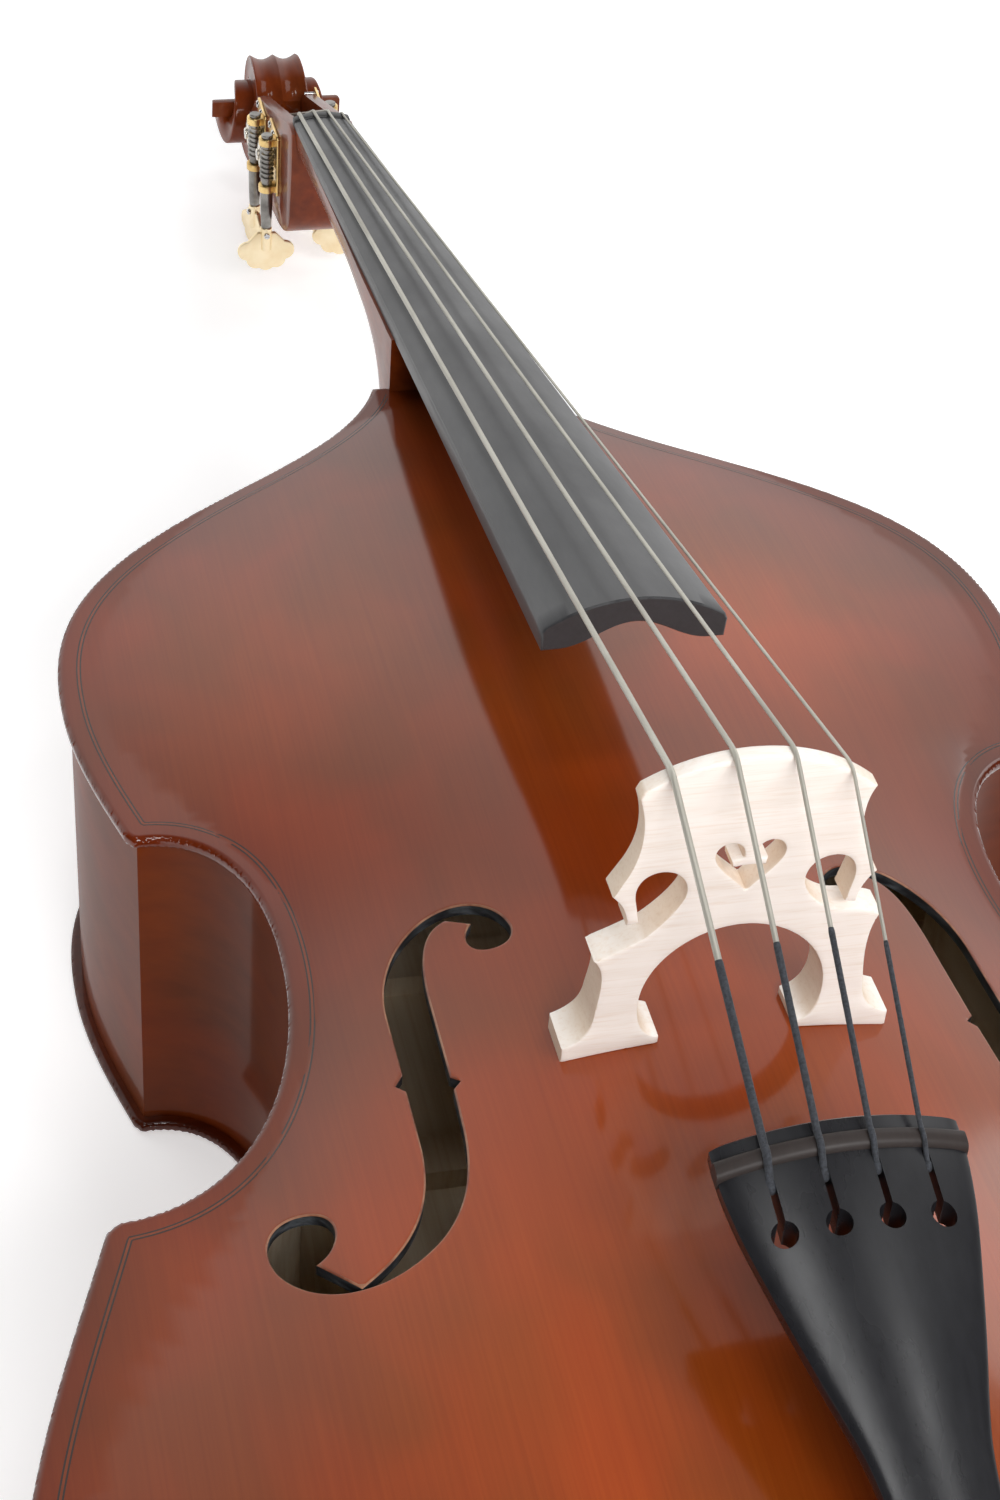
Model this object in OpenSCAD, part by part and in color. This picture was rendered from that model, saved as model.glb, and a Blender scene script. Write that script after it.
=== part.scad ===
// Double bass, three-quarter size, lying on its flat back.
// Origin: outer face of the back, under the middle of the bridge.
// +Y runs along the strings to the scroll, +X to the treble side, +Z out of the belly.

/* [Body] */
// Distance from the bridge line to the neck root
upper_len = 606; // [590:1:620]
// Distance from the bridge line to the lower end of the body
lower_len = 500; // [485:1:515]
// Greatest width of the upper bout
upper_bout = 536; // [526:2:546]
// Width of the waist
waist = 368; // [358:2:378]
// Greatest width of the lower bout
lower_bout = 678; // [664:2:692]
// Height of the belly's edge above the outer face of the back
body_depth = 214; // [206:1:222]
// Thickness of the belly and of the back
plate_t = 7; // [6:0.5:8]
// Height of the belly's arch above its edge
arch_h = 34; // [30:1:36]
// How far the plates stand out past the ribs
overhang = 6; // [5:0.5:7]
// Thickness of the ribs
rib_t = 2.5; // [2:0.5:3]

/* [Back] */
// Distance from the bridge line to the fold of the back
fold_y = 385; // [370:5:400]
// Rise of the back from the fold to the neck root
fold_rise = 54; // [45:1:60]

/* [Neck and strings] */
// Sounding length from bridge to nut
string_len = 1054; // [1050:1:1058]
// Distance from the bridge line to the free end of the fingerboard
board_end = 180; // [170:5:200]
// Distance of the outer strings from the middle at the bridge
bridge_spread = 40; // [38:1:42]
// Distance of the outer strings from the middle at the nut
nut_spread = 16.5; // [16:0.5:17]

/* [Endpin] */
// Radius of the endpin rod
rod_r = 5; // [4:0.5:6]
// Length of the endpin rod
rod_len = 400; // [340:10:420]

/* [Hidden] */

varnish = [0.50, 0.20, 0.08];
maple = [0.90, 0.82, 0.68];
spruce = [0.80, 0.66, 0.45];
ebony = [0.13, 0.12, 0.12];
brass = [0.85, 0.68, 0.35];
steel = [0.60, 0.60, 0.62];

$fn = 48;
top_z = body_depth;
rib_top = body_depth - plate_t;

// ---- points on curves, and bodies made of rings ----

function bezier(p, t) =
    pow(1 - t, 3) * p[0] + 3 * t * pow(1 - t, 2) * p[1]
    + 3 * t * t * (1 - t) * p[2] + t * t * t * p[3];

// the points of one cubic curve, without its first
function curve(p, n) = [for (i = [1:n]) bezier(p, i / n)];

function mirrored(points) = [for (i = [len(points) - 1:-1:0]) [-points[i][0], points[i][1]]];

// a closed body through rings with the same number of points, anticlockwise seen from the last ring;
// paired ends are closed by strips between opposite points, for a ring that bends inwards
module loft(rings, paired = false) {
    count = len(rings[0]);
    last = len(rings) - 1;
    points = [for (ring = rings) each ring];
    sides = [for (i = [0:last - 1], j = [0:count - 1])
        let (k = (j + 1) % count, a = i * count + j, b = i * count + k)
        each [[a, b + count, b], [a, a + count, b + count]]];
    strips = [for (j = [0:count / 2 - 2]) [j, j + 1, count - 2 - j, count - 1 - j]];
    first_cap = paired ? strips : [[for (j = [0:count - 1]) j]];
    last_cap = [for (cap = first_cap) [for (k = [len(cap) - 1:-1:0]) last * count + cap[k]]];
    polyhedron(points, concat(first_cap, sides, last_cap), convexity = 8);
}

function unit(v) = v / norm(v);

// the direction of a route at point i
function heading(route, i) =
    unit(route[min(i + 1, len(route) - 1)] - route[max(i - 1, 0)]);

// a ring of the tube round point i of a route; the ring's first axis is carried along the route
function side_axes(route, i = 0, last = [1, 0, 0.02]) =
    let (d = heading(route, i), s = unit(last - (last * d) * d))
    i == len(route) - 1 ? [s] : concat([s], side_axes(route, i + 1, s));

function tube_rings(route, radii, sides) =
    let (axes = side_axes(route))
    [for (i = [0:len(route) - 1])
        let (d = heading(route, i), s = axes[i], u = cross(d, s))
        [for (j = [0:sides - 1])
            let (a = 360 * j / sides)
            route[i] + radii[i] * (cos(a) * s + sin(a) * u)]];

// ---- outline of the plates ----

uh = upper_bout / 2;
wh = waist / 2;
lh = lower_bout / 2;
root_half = 46;

// right half, from the neck root to the lower end
half_outline = concat(
    [[0, upper_len], [root_half, upper_len]],
    curve([[root_half, upper_len], [58, 573], [90, 541], [139, 509]], 6),
    curve([[139, 509], [uh - 39, 448], [uh + 2, 403], [uh, 315]], 8),
    curve([[uh, 315], [uh, 275], [uh - 12, 235], [uh - 21, 204]], 4),
    [[uh - 25, 199]],
    curve([[uh - 25, 199], [205, 202], [wh, 165], [wh, 105]], 7),
    curve([[wh, 105], [wh, 30], [215, -44], [lh - 60, -47]], 9),
    [[lh - 54, -52]],
    curve([[lh - 54, -52], [lh - 28, -125], [lh, -190], [lh, -268]], 6),
    curve([[lh, -268], [lh, -405], [215, -lower_len], [0, -lower_len]], 10)
);

module outline() {
    polygon(concat(half_outline, [for (p = mirrored(half_outline)) if (p[0] < 0) p]));
}

module inset(d) {
    offset(delta = -d) outline();
}

// the space between the back and a height, as a body across the whole width
module above_back(top = rib_top, gap = 0) {
    far = 100;
    slope = fold_rise / (upper_len - fold_y);
    rotate([90, 0, 90])
        translate([0, 0, -400])
        linear_extrude(800)
        polygon([
            [-lower_len - far, plate_t + gap],
            [fold_y, plate_t + gap],
            [upper_len + far, plate_t + gap + slope * (upper_len + far - fold_y)],
            [upper_len + far, top],
            [-lower_len - far, top]
        ]);
}

// ---- arch of the belly ----

function ease(s) = (1 - cos(180 * s)) / 2;

// half-width that the cross arch spans at y
function arch_half(y) =
    y > 315 ? (uh - 6) * pow(max(1 - pow((y - 315) / (upper_len - 315), 2), 0), 0.9)
    : y > 105 ? wh + (uh - 6 - wh) * ease((y - 105) / 210)
    : y > -265 ? lh - 4 - (lh - 4 - wh) * ease((y + 265) / 370)
    : (lh - 4) * pow(max(1 - pow((y + 265) / (lower_len - 265), 2), 0), 0.45);

arch_margin = 14;
arch_mid = 20;

// height of the arch above the belly's edge
function arch(x, y) =
    let (
        s = min(abs(y - arch_mid) / (y > arch_mid ? upper_len - arch_mid : lower_len + arch_mid), 1),
        t = min(abs(x) / max(arch_half(y) - arch_margin, 1), 1)
    )
    arch_h * pow((1 + cos(180 * s)) / 2, 0.5) * pow((1 + cos(180 * t)) / 2, 0.55);

// a body over a grid of x and y lines, between two height functions of the arch
module arched_slab(xs, ys, low, high) {
    nx = len(xs);
    ny = len(ys);
    lower = [for (y = ys, x = xs) [x, y, low == undef ? top_z - plate_t + arch(x, y) : low]];
    upper = [for (y = ys, x = xs) [x, y, high == undef ? top_z + arch(x, y) : high]];
    n = nx * ny;
    low_faces = [for (j = [0:ny - 2], i = [0:nx - 2])
        let (a = j * nx + i)
        each [[a, a + 1, a + nx + 1], [a, a + nx + 1, a + nx]]];
    high_faces = [for (f = low_faces) [f[2] + n, f[1] + n, f[0] + n]];
    front = [for (i = [0:nx - 2]) each [[i, i + n, i + 1 + n], [i, i + 1 + n, i + 1]]];
    back = [for (i = [0:nx - 2])
        let (a = (ny - 1) * nx + i)
        each [[a, a + 1, a + 1 + n], [a, a + 1 + n, a + n]]];
    left = [for (j = [0:ny - 2])
        let (a = j * nx, b = a + nx)
        each [[a, b, b + n], [a, b + n, a + n]]];
    right = [for (j = [0:ny - 2])
        let (a = j * nx + nx - 1, b = a + nx)
        each [[a, a + n, b + n], [a, b + n, b]]];
    polyhedron(concat(lower, upper), concat(low_faces, high_faces, front, back, left, right),
        convexity = 6);
}

foot_in = 32;
foot_out = 77;
foot_half = 12;
bar_in = 38;
bar_out = 54;

grid_half = [10, foot_in, bar_in, bar_out, foot_out, 100, 122, 145, 168, 192, 216, 240, 264, 290, 345];
grid_x = concat([for (i = [len(grid_half) - 1:-1:0]) -grid_half[i]], grid_half);
grid_y = concat([-510], [for (y = [-480:32:-32]) y], [-foot_half, foot_half],
    [for (y = [40:34:584]) y], [615]);

// ---- sound holes ----

// right-hand hole; the left one is its mirror image
sound_hole = concat(
    curve([[78, 83], [80, 98], [92, 108], [106, 106]], 4),
    curve([[106, 106], [126, 103], [144, 80], [144, 45]], 6),
    [[145, 6], [149, 1], [145, -4]],
    [[146, -45]],
    curve([[146, -45], [147, -78], [160, -97], [185, -112]], 5),
    [[201, -93]],
    curve([[201, -93], [187, -86], [185, -63], [204, -63]], 5),
    curve([[204, -63], [222, -63], [226, -90], [208, -105]], 5),
    curve([[208, -105], [192, -118], [168, -114], [148, -96]], 5),
    curve([[148, -96], [132, -80], [127, -58], [126, -32]], 4),
    [[125, -11], [121, -7], [125, -3]],
    [[124, 45]],
    curve([[124, 45], [124, 75], [120, 96], [106, 99]], 5),
    [[95, 92]],
    curve([[95, 92], [104, 82], [98, 71], [88, 72]], 4),
    curve([[88, 72], [82, 72], [78, 76], [78, 83]], 3)
);

module sound_holes() {
    for (side = [0, 1])
        mirror([side, 0])
        polygon(sound_hole);
}

// ---- plates, ribs and inner work ----

purfling_in = 10;
purfling_w = 2.6;
purfling_depth = 2;
saddle_half = 30;
saddle_depth = 14;
neck_notch = 36;

module purfling_band() {
    difference() {
        inset(purfling_in);
        inset(purfling_in + purfling_w);
    }
}

module top_purfling() {
    color(ebony)
        translate([0, 0, top_z - purfling_depth])
        linear_extrude(purfling_depth)
        purfling_cut();
}

// the purfling stops at the neck and at the saddle
module purfling_cut() {
    difference() {
        purfling_band();
        translate([0, upper_len]) square([2 * neck_notch + 4, 40], center = true);
        translate([0, -lower_len]) square([2 * saddle_half + 4, 60], center = true);
    }
}

module top_plate() {
    color(varnish)
        resize([0, 0, 0])
        difference() {
            intersection() {
                arched_slab(grid_x, grid_y);
                linear_extrude(top_z + arch_h + 1)
                    difference() {
                        outline();
                        sound_holes();
                        translate([-neck_notch, upper_len - overhang])
                            square([2 * neck_notch, 2 * overhang]);
                        translate([-saddle_half, -lower_len - 1])
                            square([2 * saddle_half, saddle_depth + 1]);
                    }
            }
            translate([0, 0, top_z - purfling_depth])
                linear_extrude(2 * purfling_depth)
                purfling_cut();
        }
}

button_r = 24;

// half outline of the back, with the button under the heel
back_half = concat(
    [for (a = [90:-15:0]) [button_r * cos(a), upper_len + button_r * sin(a)]],
    [for (i = [1:len(half_outline) - 1]) half_outline[i]]
);

module back_plate() {
    far = 100;
    slope = fold_rise / (upper_len - fold_y);
    rise = slope * (upper_len + far - fold_y);
    color(varnish)
        intersection() {
            linear_extrude(body_depth / 2)
                polygon(concat(back_half, [for (p = mirrored(back_half)) if (p[0] < 0) p]));
            rotate([90, 0, 90])
                translate([0, 0, -400])
                linear_extrude(800)
                polygon([
                    [-lower_len - far, 0], [fold_y, 0], [upper_len + far, rise],
                    [upper_len + far, rise + plate_t], [fold_y, plate_t], [-lower_len - far, plate_t]
                ]);
        }
}

module rib_band() {
    difference() {
        inset(overhang);
        inset(overhang + rib_t);
    }
}

upper_corner = [uh - 23, 201.5];
lower_corner = [lh - 57, -49.5];
mortise_half = 20;

// part of the plan that belongs to the upper bout, the waist or the lower bout, on the right
module bout(which) {
    far = 400;
    if (which == 0)
        polygon([[mortise_half, 700], [far, 700], [far, 240], upper_corner,
            [100, 130], [mortise_half, 130]]);
    if (which == 1)
        polygon([upper_corner, [300, 230], [330, 60], lower_corner, [100, 20], [100, 130]]);
    if (which == 2)
        polygon([lower_corner, [far, -10], [far, -600], [0, -600], [0, 20], [100, 20]]);
}

module rib(which, side) {
    color(varnish)
        difference() {
            mirror([side, 0, 0])
                intersection() {
                    linear_extrude(body_depth)
                        intersection() {
                            rib_band();
                            bout(which);
                        }
                    above_back();
                }
            endpin_hole();
        }
}

endpin_z = 107;
socket_r = 14;

module endpin_hole() {
    translate([0, -lower_len - 5, endpin_z])
        rotate([-90, 0, 0])
        cylinder(r = socket_r, h = 80);
}

module inner_space(gap = 0) {
    intersection() {
        linear_extrude(body_depth) inset(overhang + rib_t + gap);
        above_back();
    }
}

tenon_y = upper_len - overhang - 16;
tenon_low = 80;
block_depth = 38;

module upper_block() {
    color(spruce)
        difference() {
            intersection() {
                inner_space();
                translate([-70, upper_len - overhang - rib_t - block_depth, 0])
                    cube([140, block_depth + 10, body_depth]);
            }
            translate([-mortise_half, tenon_y, tenon_low])
                cube([2 * mortise_half, 60, body_depth]);
        }
}

module lower_block() {
    color(spruce)
        difference() {
            intersection() {
                inner_space();
                translate([-65, -lower_len, 0])
                    cube([130, overhang + rib_t + block_depth, body_depth]);
            }
            endpin_hole();
        }
}

module corner_blocks() {
    color(spruce)
        for (side = [0, 1], corner = [upper_corner, lower_corner])
            mirror([side, 0, 0])
            intersection() {
                inner_space();
                translate([corner[0], corner[1], 0]) cylinder(r = 42, h = body_depth);
            }
}

lining_t = 8;
lining_h = 20;

// the space that the corner blocks take, with a little room
module corner_circles() {
    for (side = [-1, 1], corner = [upper_corner, lower_corner])
        translate([side * corner[0], corner[1]]) circle(44);
}

// strips round the inside of the ribs, between the blocks
module linings() {
    color(spruce)
        difference() {
            intersection() {
                linear_extrude(body_depth)
                    difference() {
                        inset(overhang + rib_t);
                        inset(overhang + rib_t + lining_t);
                        corner_circles();
                        translate([-72, 550]) square([144, 100]);
                        translate([-67, -550]) square([134, 100]);
                    }
                above_back();
            }
            intersection() {
                above_back(rib_top - lining_h, lining_h);
                translate([-400, -600, 0]) cube([800, 1300, body_depth]);
            }
        }
}

// y place, width along y and height of each brace
braces = [[-350, 26, 14], [-190, 26, 14], [-28, 90, 7], [140, 26, 14], [290, 26, 14]];

module back_braces() {
    color(spruce)
        for (b = braces)
            intersection() {
                linear_extrude(body_depth)
                    difference() {
                        inset(overhang + rib_t + lining_t + 1);
                        corner_circles();
                    }
                translate([-400, b[0] - b[1] / 2, plate_t]) cube([800, b[1], b[2]]);
            }
}

bar_ys = [for (y = grid_y) if (y > -420 && y < 420) y];

module bass_bar() {
    bar_h = 30;
    color(spruce)
        loft([for (y = bar_ys)
            let (
                left = -bar_out,
                right = -bar_in,
                zl = rib_top + arch(left, y),
                zr = rib_top + arch(right, y),
                h = 8 + (bar_h - 8) * pow(cos(90 * y / 430), 0.7)
            )
            [[left, y, zl], [right, y, zr], [right, y, zr - h], [left, y, zl - h]]]);
}

post_x = 50;
post_y = -28;
post_r = 8.5;

module sound_post() {
    color(spruce)
        translate([post_x, post_y, plate_t + 7])
        cylinder(r = post_r, h = rib_top + arch(post_x + post_r, post_y - post_r) - 0.5 - plate_t - 7);
}

// ---- neck, fingerboard and nut ----

nut_y = string_len - 6;
board_slope = 0.1775;
crown_slope = 0.2;
board_w0 = 47;
board_w1 = 21.5;

// underside of the fingerboard, its crown and its half-width at y
function seat(y) = top_z + 111.5 - board_slope * (y - 180);
function crown(y) = top_z + 139 - crown_slope * (y - 180);
function board_half(y) = board_w0 + (board_w1 - board_w0) * (y - 180) / (nut_y - 180);
function board_radius(y) = 81 - 12 * (y - 180) / (nut_y - 180);

function board_top(x, y) =
    let (r = board_radius(y))
    crown(y) - r + sqrt(r * r - x * x);

// how far the free part of the underside is hollowed
function hollow(y) = y < 400 ? 13 : y < 560 ? 13 * (560 - y) / 160 : 0;

board_ys = [board_end, 260, 340, 400, 480, 560, 700, 820, 940, nut_y];

module fingerboard() {
    n = 12;
    color(ebony)
        loft([for (y = board_ys)
            let (w = board_half(y))
            concat(
                [for (i = [0:n]) let (x = -w + 2 * w * i / n) [x, y, board_top(x, y)]],
                [for (i = [n:-1:0])
                    let (x = (-w + 2 * w * i / n), s = x / w)
                    [x * 0.985, y, seat(y) + hollow(y) * max(1 - pow(s / 0.8, 2), 0)]]
            )], paired = true);
}

module nut() {
    color(ebony)
        intersection() {
            translate([0, nut_y, seat(nut_y) + 5])
                rotate([-90, 0, 0])
                translate([0, 60, 0])
                cylinder(r = 64.2, h = 8, $fn = 96);
            translate([-board_w1, nut_y, seat(nut_y)]) cube([2 * board_w1, 8, 20]);
        }
}

heel_y = upper_len - overhang;
neck_end = 1046;

// inner face of the back past its fold
function back_inside(y) = plate_t + fold_rise * (y - fold_y) / (upper_len - fold_y);

// y, half-width and share of the full depth of each section of the heel
neck_sections = [
    [heel_y, 36, 1], [612, 36, 1], [624, 35.5, 0.96], [630, 35.2, 0.76], [638, 35, 0.54],
    [650, 34.6, 0.34], [666, 34.2, 0.18], [688, 33.6, 0.07], [720, 32.6, 0]
];
shaft_sections = [[800, 29.4], [880, 26.4], [960, 23.8], [1020, 22], [neck_end, 21.6]];

function shaft_depth(y) = 40 - 7 * (y - 600) / 450;

function neck_ring(y, w, depth, power) =
    let (n = 14)
    [for (i = [0:n])
        let (a = 180 * i / n, c = cos(a), s = sin(a))
        [w * sign(c) * pow(abs(c), power), y, seat(y) - depth * pow(s, power)]];

module neck_shaft() {
    heel = [for (k = neck_sections)
        let (y = k[0], full = seat(y) - back_inside(y) - 0.2, d = shaft_depth(y))
        neck_ring(y, k[1], d + (full - d) * k[2], k[2] > 0.9 ? 0.45 : 0.62)];
    shaft = [for (k = shaft_sections) neck_ring(k[0], k[1], shaft_depth(k[0]), 0.85)];
    loft(concat(heel, shaft));
}

pegbox_half = 24.5;
slot_half = 14.5;
scroll_y = 1264;
scroll_z = top_z - 138;

// side view of the pegbox, in y and z
pegbox_side = concat(
    [[1040, top_z - 75], [1040, top_z - 44], [nut_y, seat(nut_y)], [nut_y + 8, seat(nut_y)]],
    [[1214, top_z - 96], [scroll_y, scroll_z + 10], [scroll_y, scroll_z - 50]],
    curve([[scroll_y, scroll_z - 50], [1222, scroll_z - 48], [1160, top_z - 156], [1103, top_z - 151]], 5),
    curve([[1103, top_z - 151], [1075, top_z - 145], [1048, top_z - 138], [1046, top_z - 112]], 4)
);

// machine: name, side (-1 bass, 1 treble), y and z of the string post
machines = [
    ["e", -1, 1122, top_z - 101],
    ["g", 1, 1152, top_z - 107],
    ["a", -1, 1183, top_z - 113],
    ["d", 1, 1212, top_z - 120]
];

bearing_r = 5;
fit = 0.05;

module pegbox() {
    rotate([90, 0, 90])
        translate([0, 0, -pegbox_half])
        linear_extrude(2 * pegbox_half)
        polygon(pegbox_side);
}

module pegbox_slot() {
    rotate([90, 0, 90])
        translate([0, 0, -slot_half])
        linear_extrude(2 * slot_half)
        polygon([
            [1062, top_z], [1222, top_z], [1228, top_z - 108], [1224, top_z - 146],
            [1108, top_z - 136], [1070, top_z - 118]
        ]);
}

// radius and half-length of each step of the scroll
scroll_steps = [[50, 19], [40, 24], [29, 33], [21, 44], [13.5, 54]];

module scroll() {
    translate([0, scroll_y, scroll_z])
        rotate([0, 90, 0])
        for (k = scroll_steps)
            cylinder(r = k[0], h = 2 * k[1], center = true);
}

module neck() {
    color(varnish)
        difference() {
            union() {
                neck_shaft();
                translate([-mortise_half, tenon_y, tenon_low])
                    cube([2 * mortise_half, heel_y - tenon_y + 4, rib_top - tenon_low]);
                pegbox();
                scroll();
            }
            pegbox_slot();
            for (m = machines)
                translate([-60, m[2], m[3]])
                rotate([0, 90, 0])
                cylinder(r = bearing_r + fit, h = 120);
        }
}

// ---- bridge ----

bridge_base = top_z + 36;
bridge_top_r = 84;
bass_knee_drop = 11;
bridge_top_c = [-4.7, 108.5];

// one side edge, from the top corner to the foot, heights above the edge; its knee is lower by drop
function bridge_side(drop) = concat(
    [[53, 171]],
    curve([[53, 171], [49, 163], [47.5, 148], [54, 133]], 4),
    [[60, 121]],
    curve([[60, 121], [55, 116], [53, 111], [52.5, 104]], 3),
    [[47, 105.5]],
    [[49.5, 118]],
    curve([[49.5, 118], [51, 129], [44, 133], [38, 132.5]], 3),
    curve([[38, 132.5], [29, 132], [24, 122], [29, 114]], 4),
    curve([[29, 114], [32, 108], [38, 104 - drop / 4], [44, 101.5 - drop / 2]], 3),
    [[55, 100 - 0.9 * drop], [65.5, 96 - drop]],
    curve([[65.5, 96 - drop], [60, 86 - 0.7 * drop], [61, 70], [63, 55]], 3),
    curve([[63, 55], [63.5, 46], [66, 40], [foot_out, 36]], 3)
);
bridge_arch = concat(
    [[foot_in, 36]],
    curve([[foot_in, 37], [40, 38], [43, 46], [43, 56]], 4),
    curve([[43, 56], [43, 80], [22, 98], [0, 98]], 6)
);

module bridge_front() {
    right = concat(bridge_side(0), bridge_arch);
    left = mirrored(concat(bridge_side(bass_knee_drop), bridge_arch));
    difference() {
        union() {
            polygon(concat(right, [for (p = left) if (p[0] < 0) p]));
            intersection() {
                translate(bridge_top_c) circle(bridge_top_r, $fn = 96);
                translate([-53, 150]) square([106, 60]);
            }
        }
        heart();
        translate([-60, bridge_top_c[1] + bridge_top_r]) square([120, 30]);
        bridge_crop();
    }
}

// what stands above the top arc
module bridge_crop() {
    difference() {
        translate([-60, 150]) square([120, 50]);
        translate(bridge_top_c) circle(bridge_top_r, $fn = 96);
    }
}

module heart() {
    difference() {
        union() {
            for (side = [-1, 1])
                translate([side * 9.3, 138.5]) circle(6.4);
            polygon([[-15, 135.8], [0, 118], [15, 135.8], [6, 140], [-6, 140]]);
        }
        polygon([[-2.5, 146], [-2.5, 139], [-8, 135], [-7.5, 131], [0, 132],
            [7.5, 131], [8, 135], [2.5, 139], [2.5, 146]]);
    }
}

module bridge() {
    high = top_z + 200;
    color(maple)
        union() {
            intersection() {
                translate([0, 0, top_z])
                    rotate([90, 0, 0])
                    translate([0, 0, -20])
                    linear_extrude(40)
                    bridge_front();
                rotate([90, 0, 90])
                    translate([0, 0, -100])
                    linear_extrude(200)
                    polygon([[-foot_half, bridge_base], [foot_half, bridge_base],
                        [foot_half, bridge_base + 4], [-0.5, high], [-7.5, high]]);
            }
            bridge_foot([foot_in, bar_in, bar_out, foot_out]);
            bridge_foot([-foot_out, -bar_out, -bar_in, -foot_in]);
        }
}

// the sole of a foot follows the arch of the belly
module bridge_foot(xs) {
    ys = [-foot_half, foot_half];
    sole = top_z + 0.05;
    rings = [for (x = xs)
        [[x, ys[0], sole + arch(x, ys[0])], [x, ys[1], sole + arch(x, ys[1])],
            [x, ys[1], bridge_base], [x, ys[0], bridge_base]]];
    loft(rings);
}

// ---- tailpiece, saddle and tail wire ----

tail_top = -137;
tail_end = -430;
tail_slope = 0.25;

// y and half-width of each section of the tailpiece
tail_sections = [
    [tail_end, 17], [tail_end + 6, 21], [-400, 21], [-340, 20], [-300, 21.5], [-275, 24],
    [-257, 28], [-227, 36.5], [-186, 47], [-165, 51], [-150, 52.5], [tail_top, 52.5]
];

// height of the tailpiece's lower edges
function tail_z(y) = top_z + 93 + tail_slope * (y - tail_top);

function tail_crown(w) = 9 + 9 * pow(w / 52.5, 1.3);

function tail_ring(y, w) =
    let (n = 10, h = tail_crown(w))
    concat(
        [for (i = [0:n])
            let (s = -1 + 2 * i / n)
            [w * s, y, tail_z(y) + 9 + (h - 9) * (1 - s * s)]],
        [[w * 0.97, y, tail_z(y)], [-w * 0.97, y, tail_z(y)]]
    );

tail_string_x = [-33, -11, 11, 33];
ridge_y = -148.5;
tail_hole_y = -180.5;

module tailpiece() {
    color(ebony)
        difference() {
            union() {
                loft([for (k = tail_sections) tail_ring(k[0], k[1])]);
                tail_ridge();
            }
            for (x = tail_string_x) {
                translate([x, tail_hole_y, top_z + 50]) cylinder(r = 5.5, h = 90);
                translate([x - 1.5, tail_hole_y, top_z + 50]) cube([3, 27, 90]);
            }
            for (side = [-1, 1])
                translate([side * 9, tail_end - 20, tail_z(tail_end) - 0.5])
                rotate([-90 + atan(tail_slope), 0, 0])
                cylinder(r = 2, h = 50);
        }
}

// low rib across the tailpiece that the strings bear on
module tail_ridge() {
    w = 53;
    n = 10;
    loft([for (i = [0:n])
        let (
            s = -1 + 2 * i / n,
            z = tail_z(ridge_y) + 9 + 9 * (1 - s * s)
        )
        [[w * s, ridge_y + 4, z - 4], [w * s, ridge_y + 3, z + 3.4], [w * s, ridge_y - 3, z + 1.6],
            [w * s, ridge_y - 4, z - 5]]]);
}

saddle_rise = 7;

module saddle() {
    color(ebony)
        rotate([90, 0, 90])
        translate([0, 0, -saddle_half])
        linear_extrude(2 * saddle_half)
        polygon(concat(
            [[-lower_len, rib_top], [-lower_len + saddle_depth, rib_top],
                [-lower_len + saddle_depth, top_z]],
            curve([[-lower_len + saddle_depth, top_z], [-lower_len + 9, top_z + 1],
                [-lower_len + 7, top_z + saddle_rise], [-lower_len + 2, top_z + saddle_rise]], 5),
            curve([[-lower_len + 2, top_z + saddle_rise], [-lower_len - 2.5, top_z + saddle_rise],
                [-lower_len - 2.5, top_z + 2], [-lower_len, top_z - 1]], 5)
        ));
}

wire_r = 1.6;
collar_r = 17;

// right half of the wire, from the tailpiece to the underside of the collar's groove
wire_half = concat(
    [
        [9, tail_end + 22, tail_z(tail_end) + 10],
        [9, tail_end - 1, tail_z(tail_end) + 4.25],
        [9.5, -480, top_z + 9.6],
        [10, -497, top_z + saddle_rise + 2.2],
        [10, -503, top_z + saddle_rise + 0.6],
        [10.3, -506, top_z - 1],
        [12, -507.5, top_z - 40],
        [15, -507.5, endpin_z + 20]
    ],
    [for (a = [15:-25:-60]) [16.4 * cos(a), -507.5, endpin_z + 16.4 * sin(a)]]
);

module tail_wire() {
    n = len(wire_half);
    route = concat(wire_half, [[0, -507.5, endpin_z - 16.4]],
        [for (i = [n - 1:-1:0]) [-wire_half[i][0], wire_half[i][1], wire_half[i][2]]]);
    color(steel)
        loft(tube_rings(route, [for (p = route) wire_r], 8));
}

// ---- strings ----

// radius of each string and its place from -1 (bass) to 1 (treble)
string_r = [1.5, 1.25, 1.05, 0.8];
string_place = [-1, -1 / 3, 1 / 3, 1];
string_gap = 0.25;

// height of the top arc of the bridge over the belly's edge
function bridge_top(x) =
    bridge_top_c[1] + sqrt(bridge_top_r * bridge_top_r - pow(x - bridge_top_c[0], 2));

function machine(name) = [for (m = machines) if (m[0] == name) m][0];

wrap_turns = 2;
wrap_steps = 10;
drum_r = 4.5;

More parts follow.
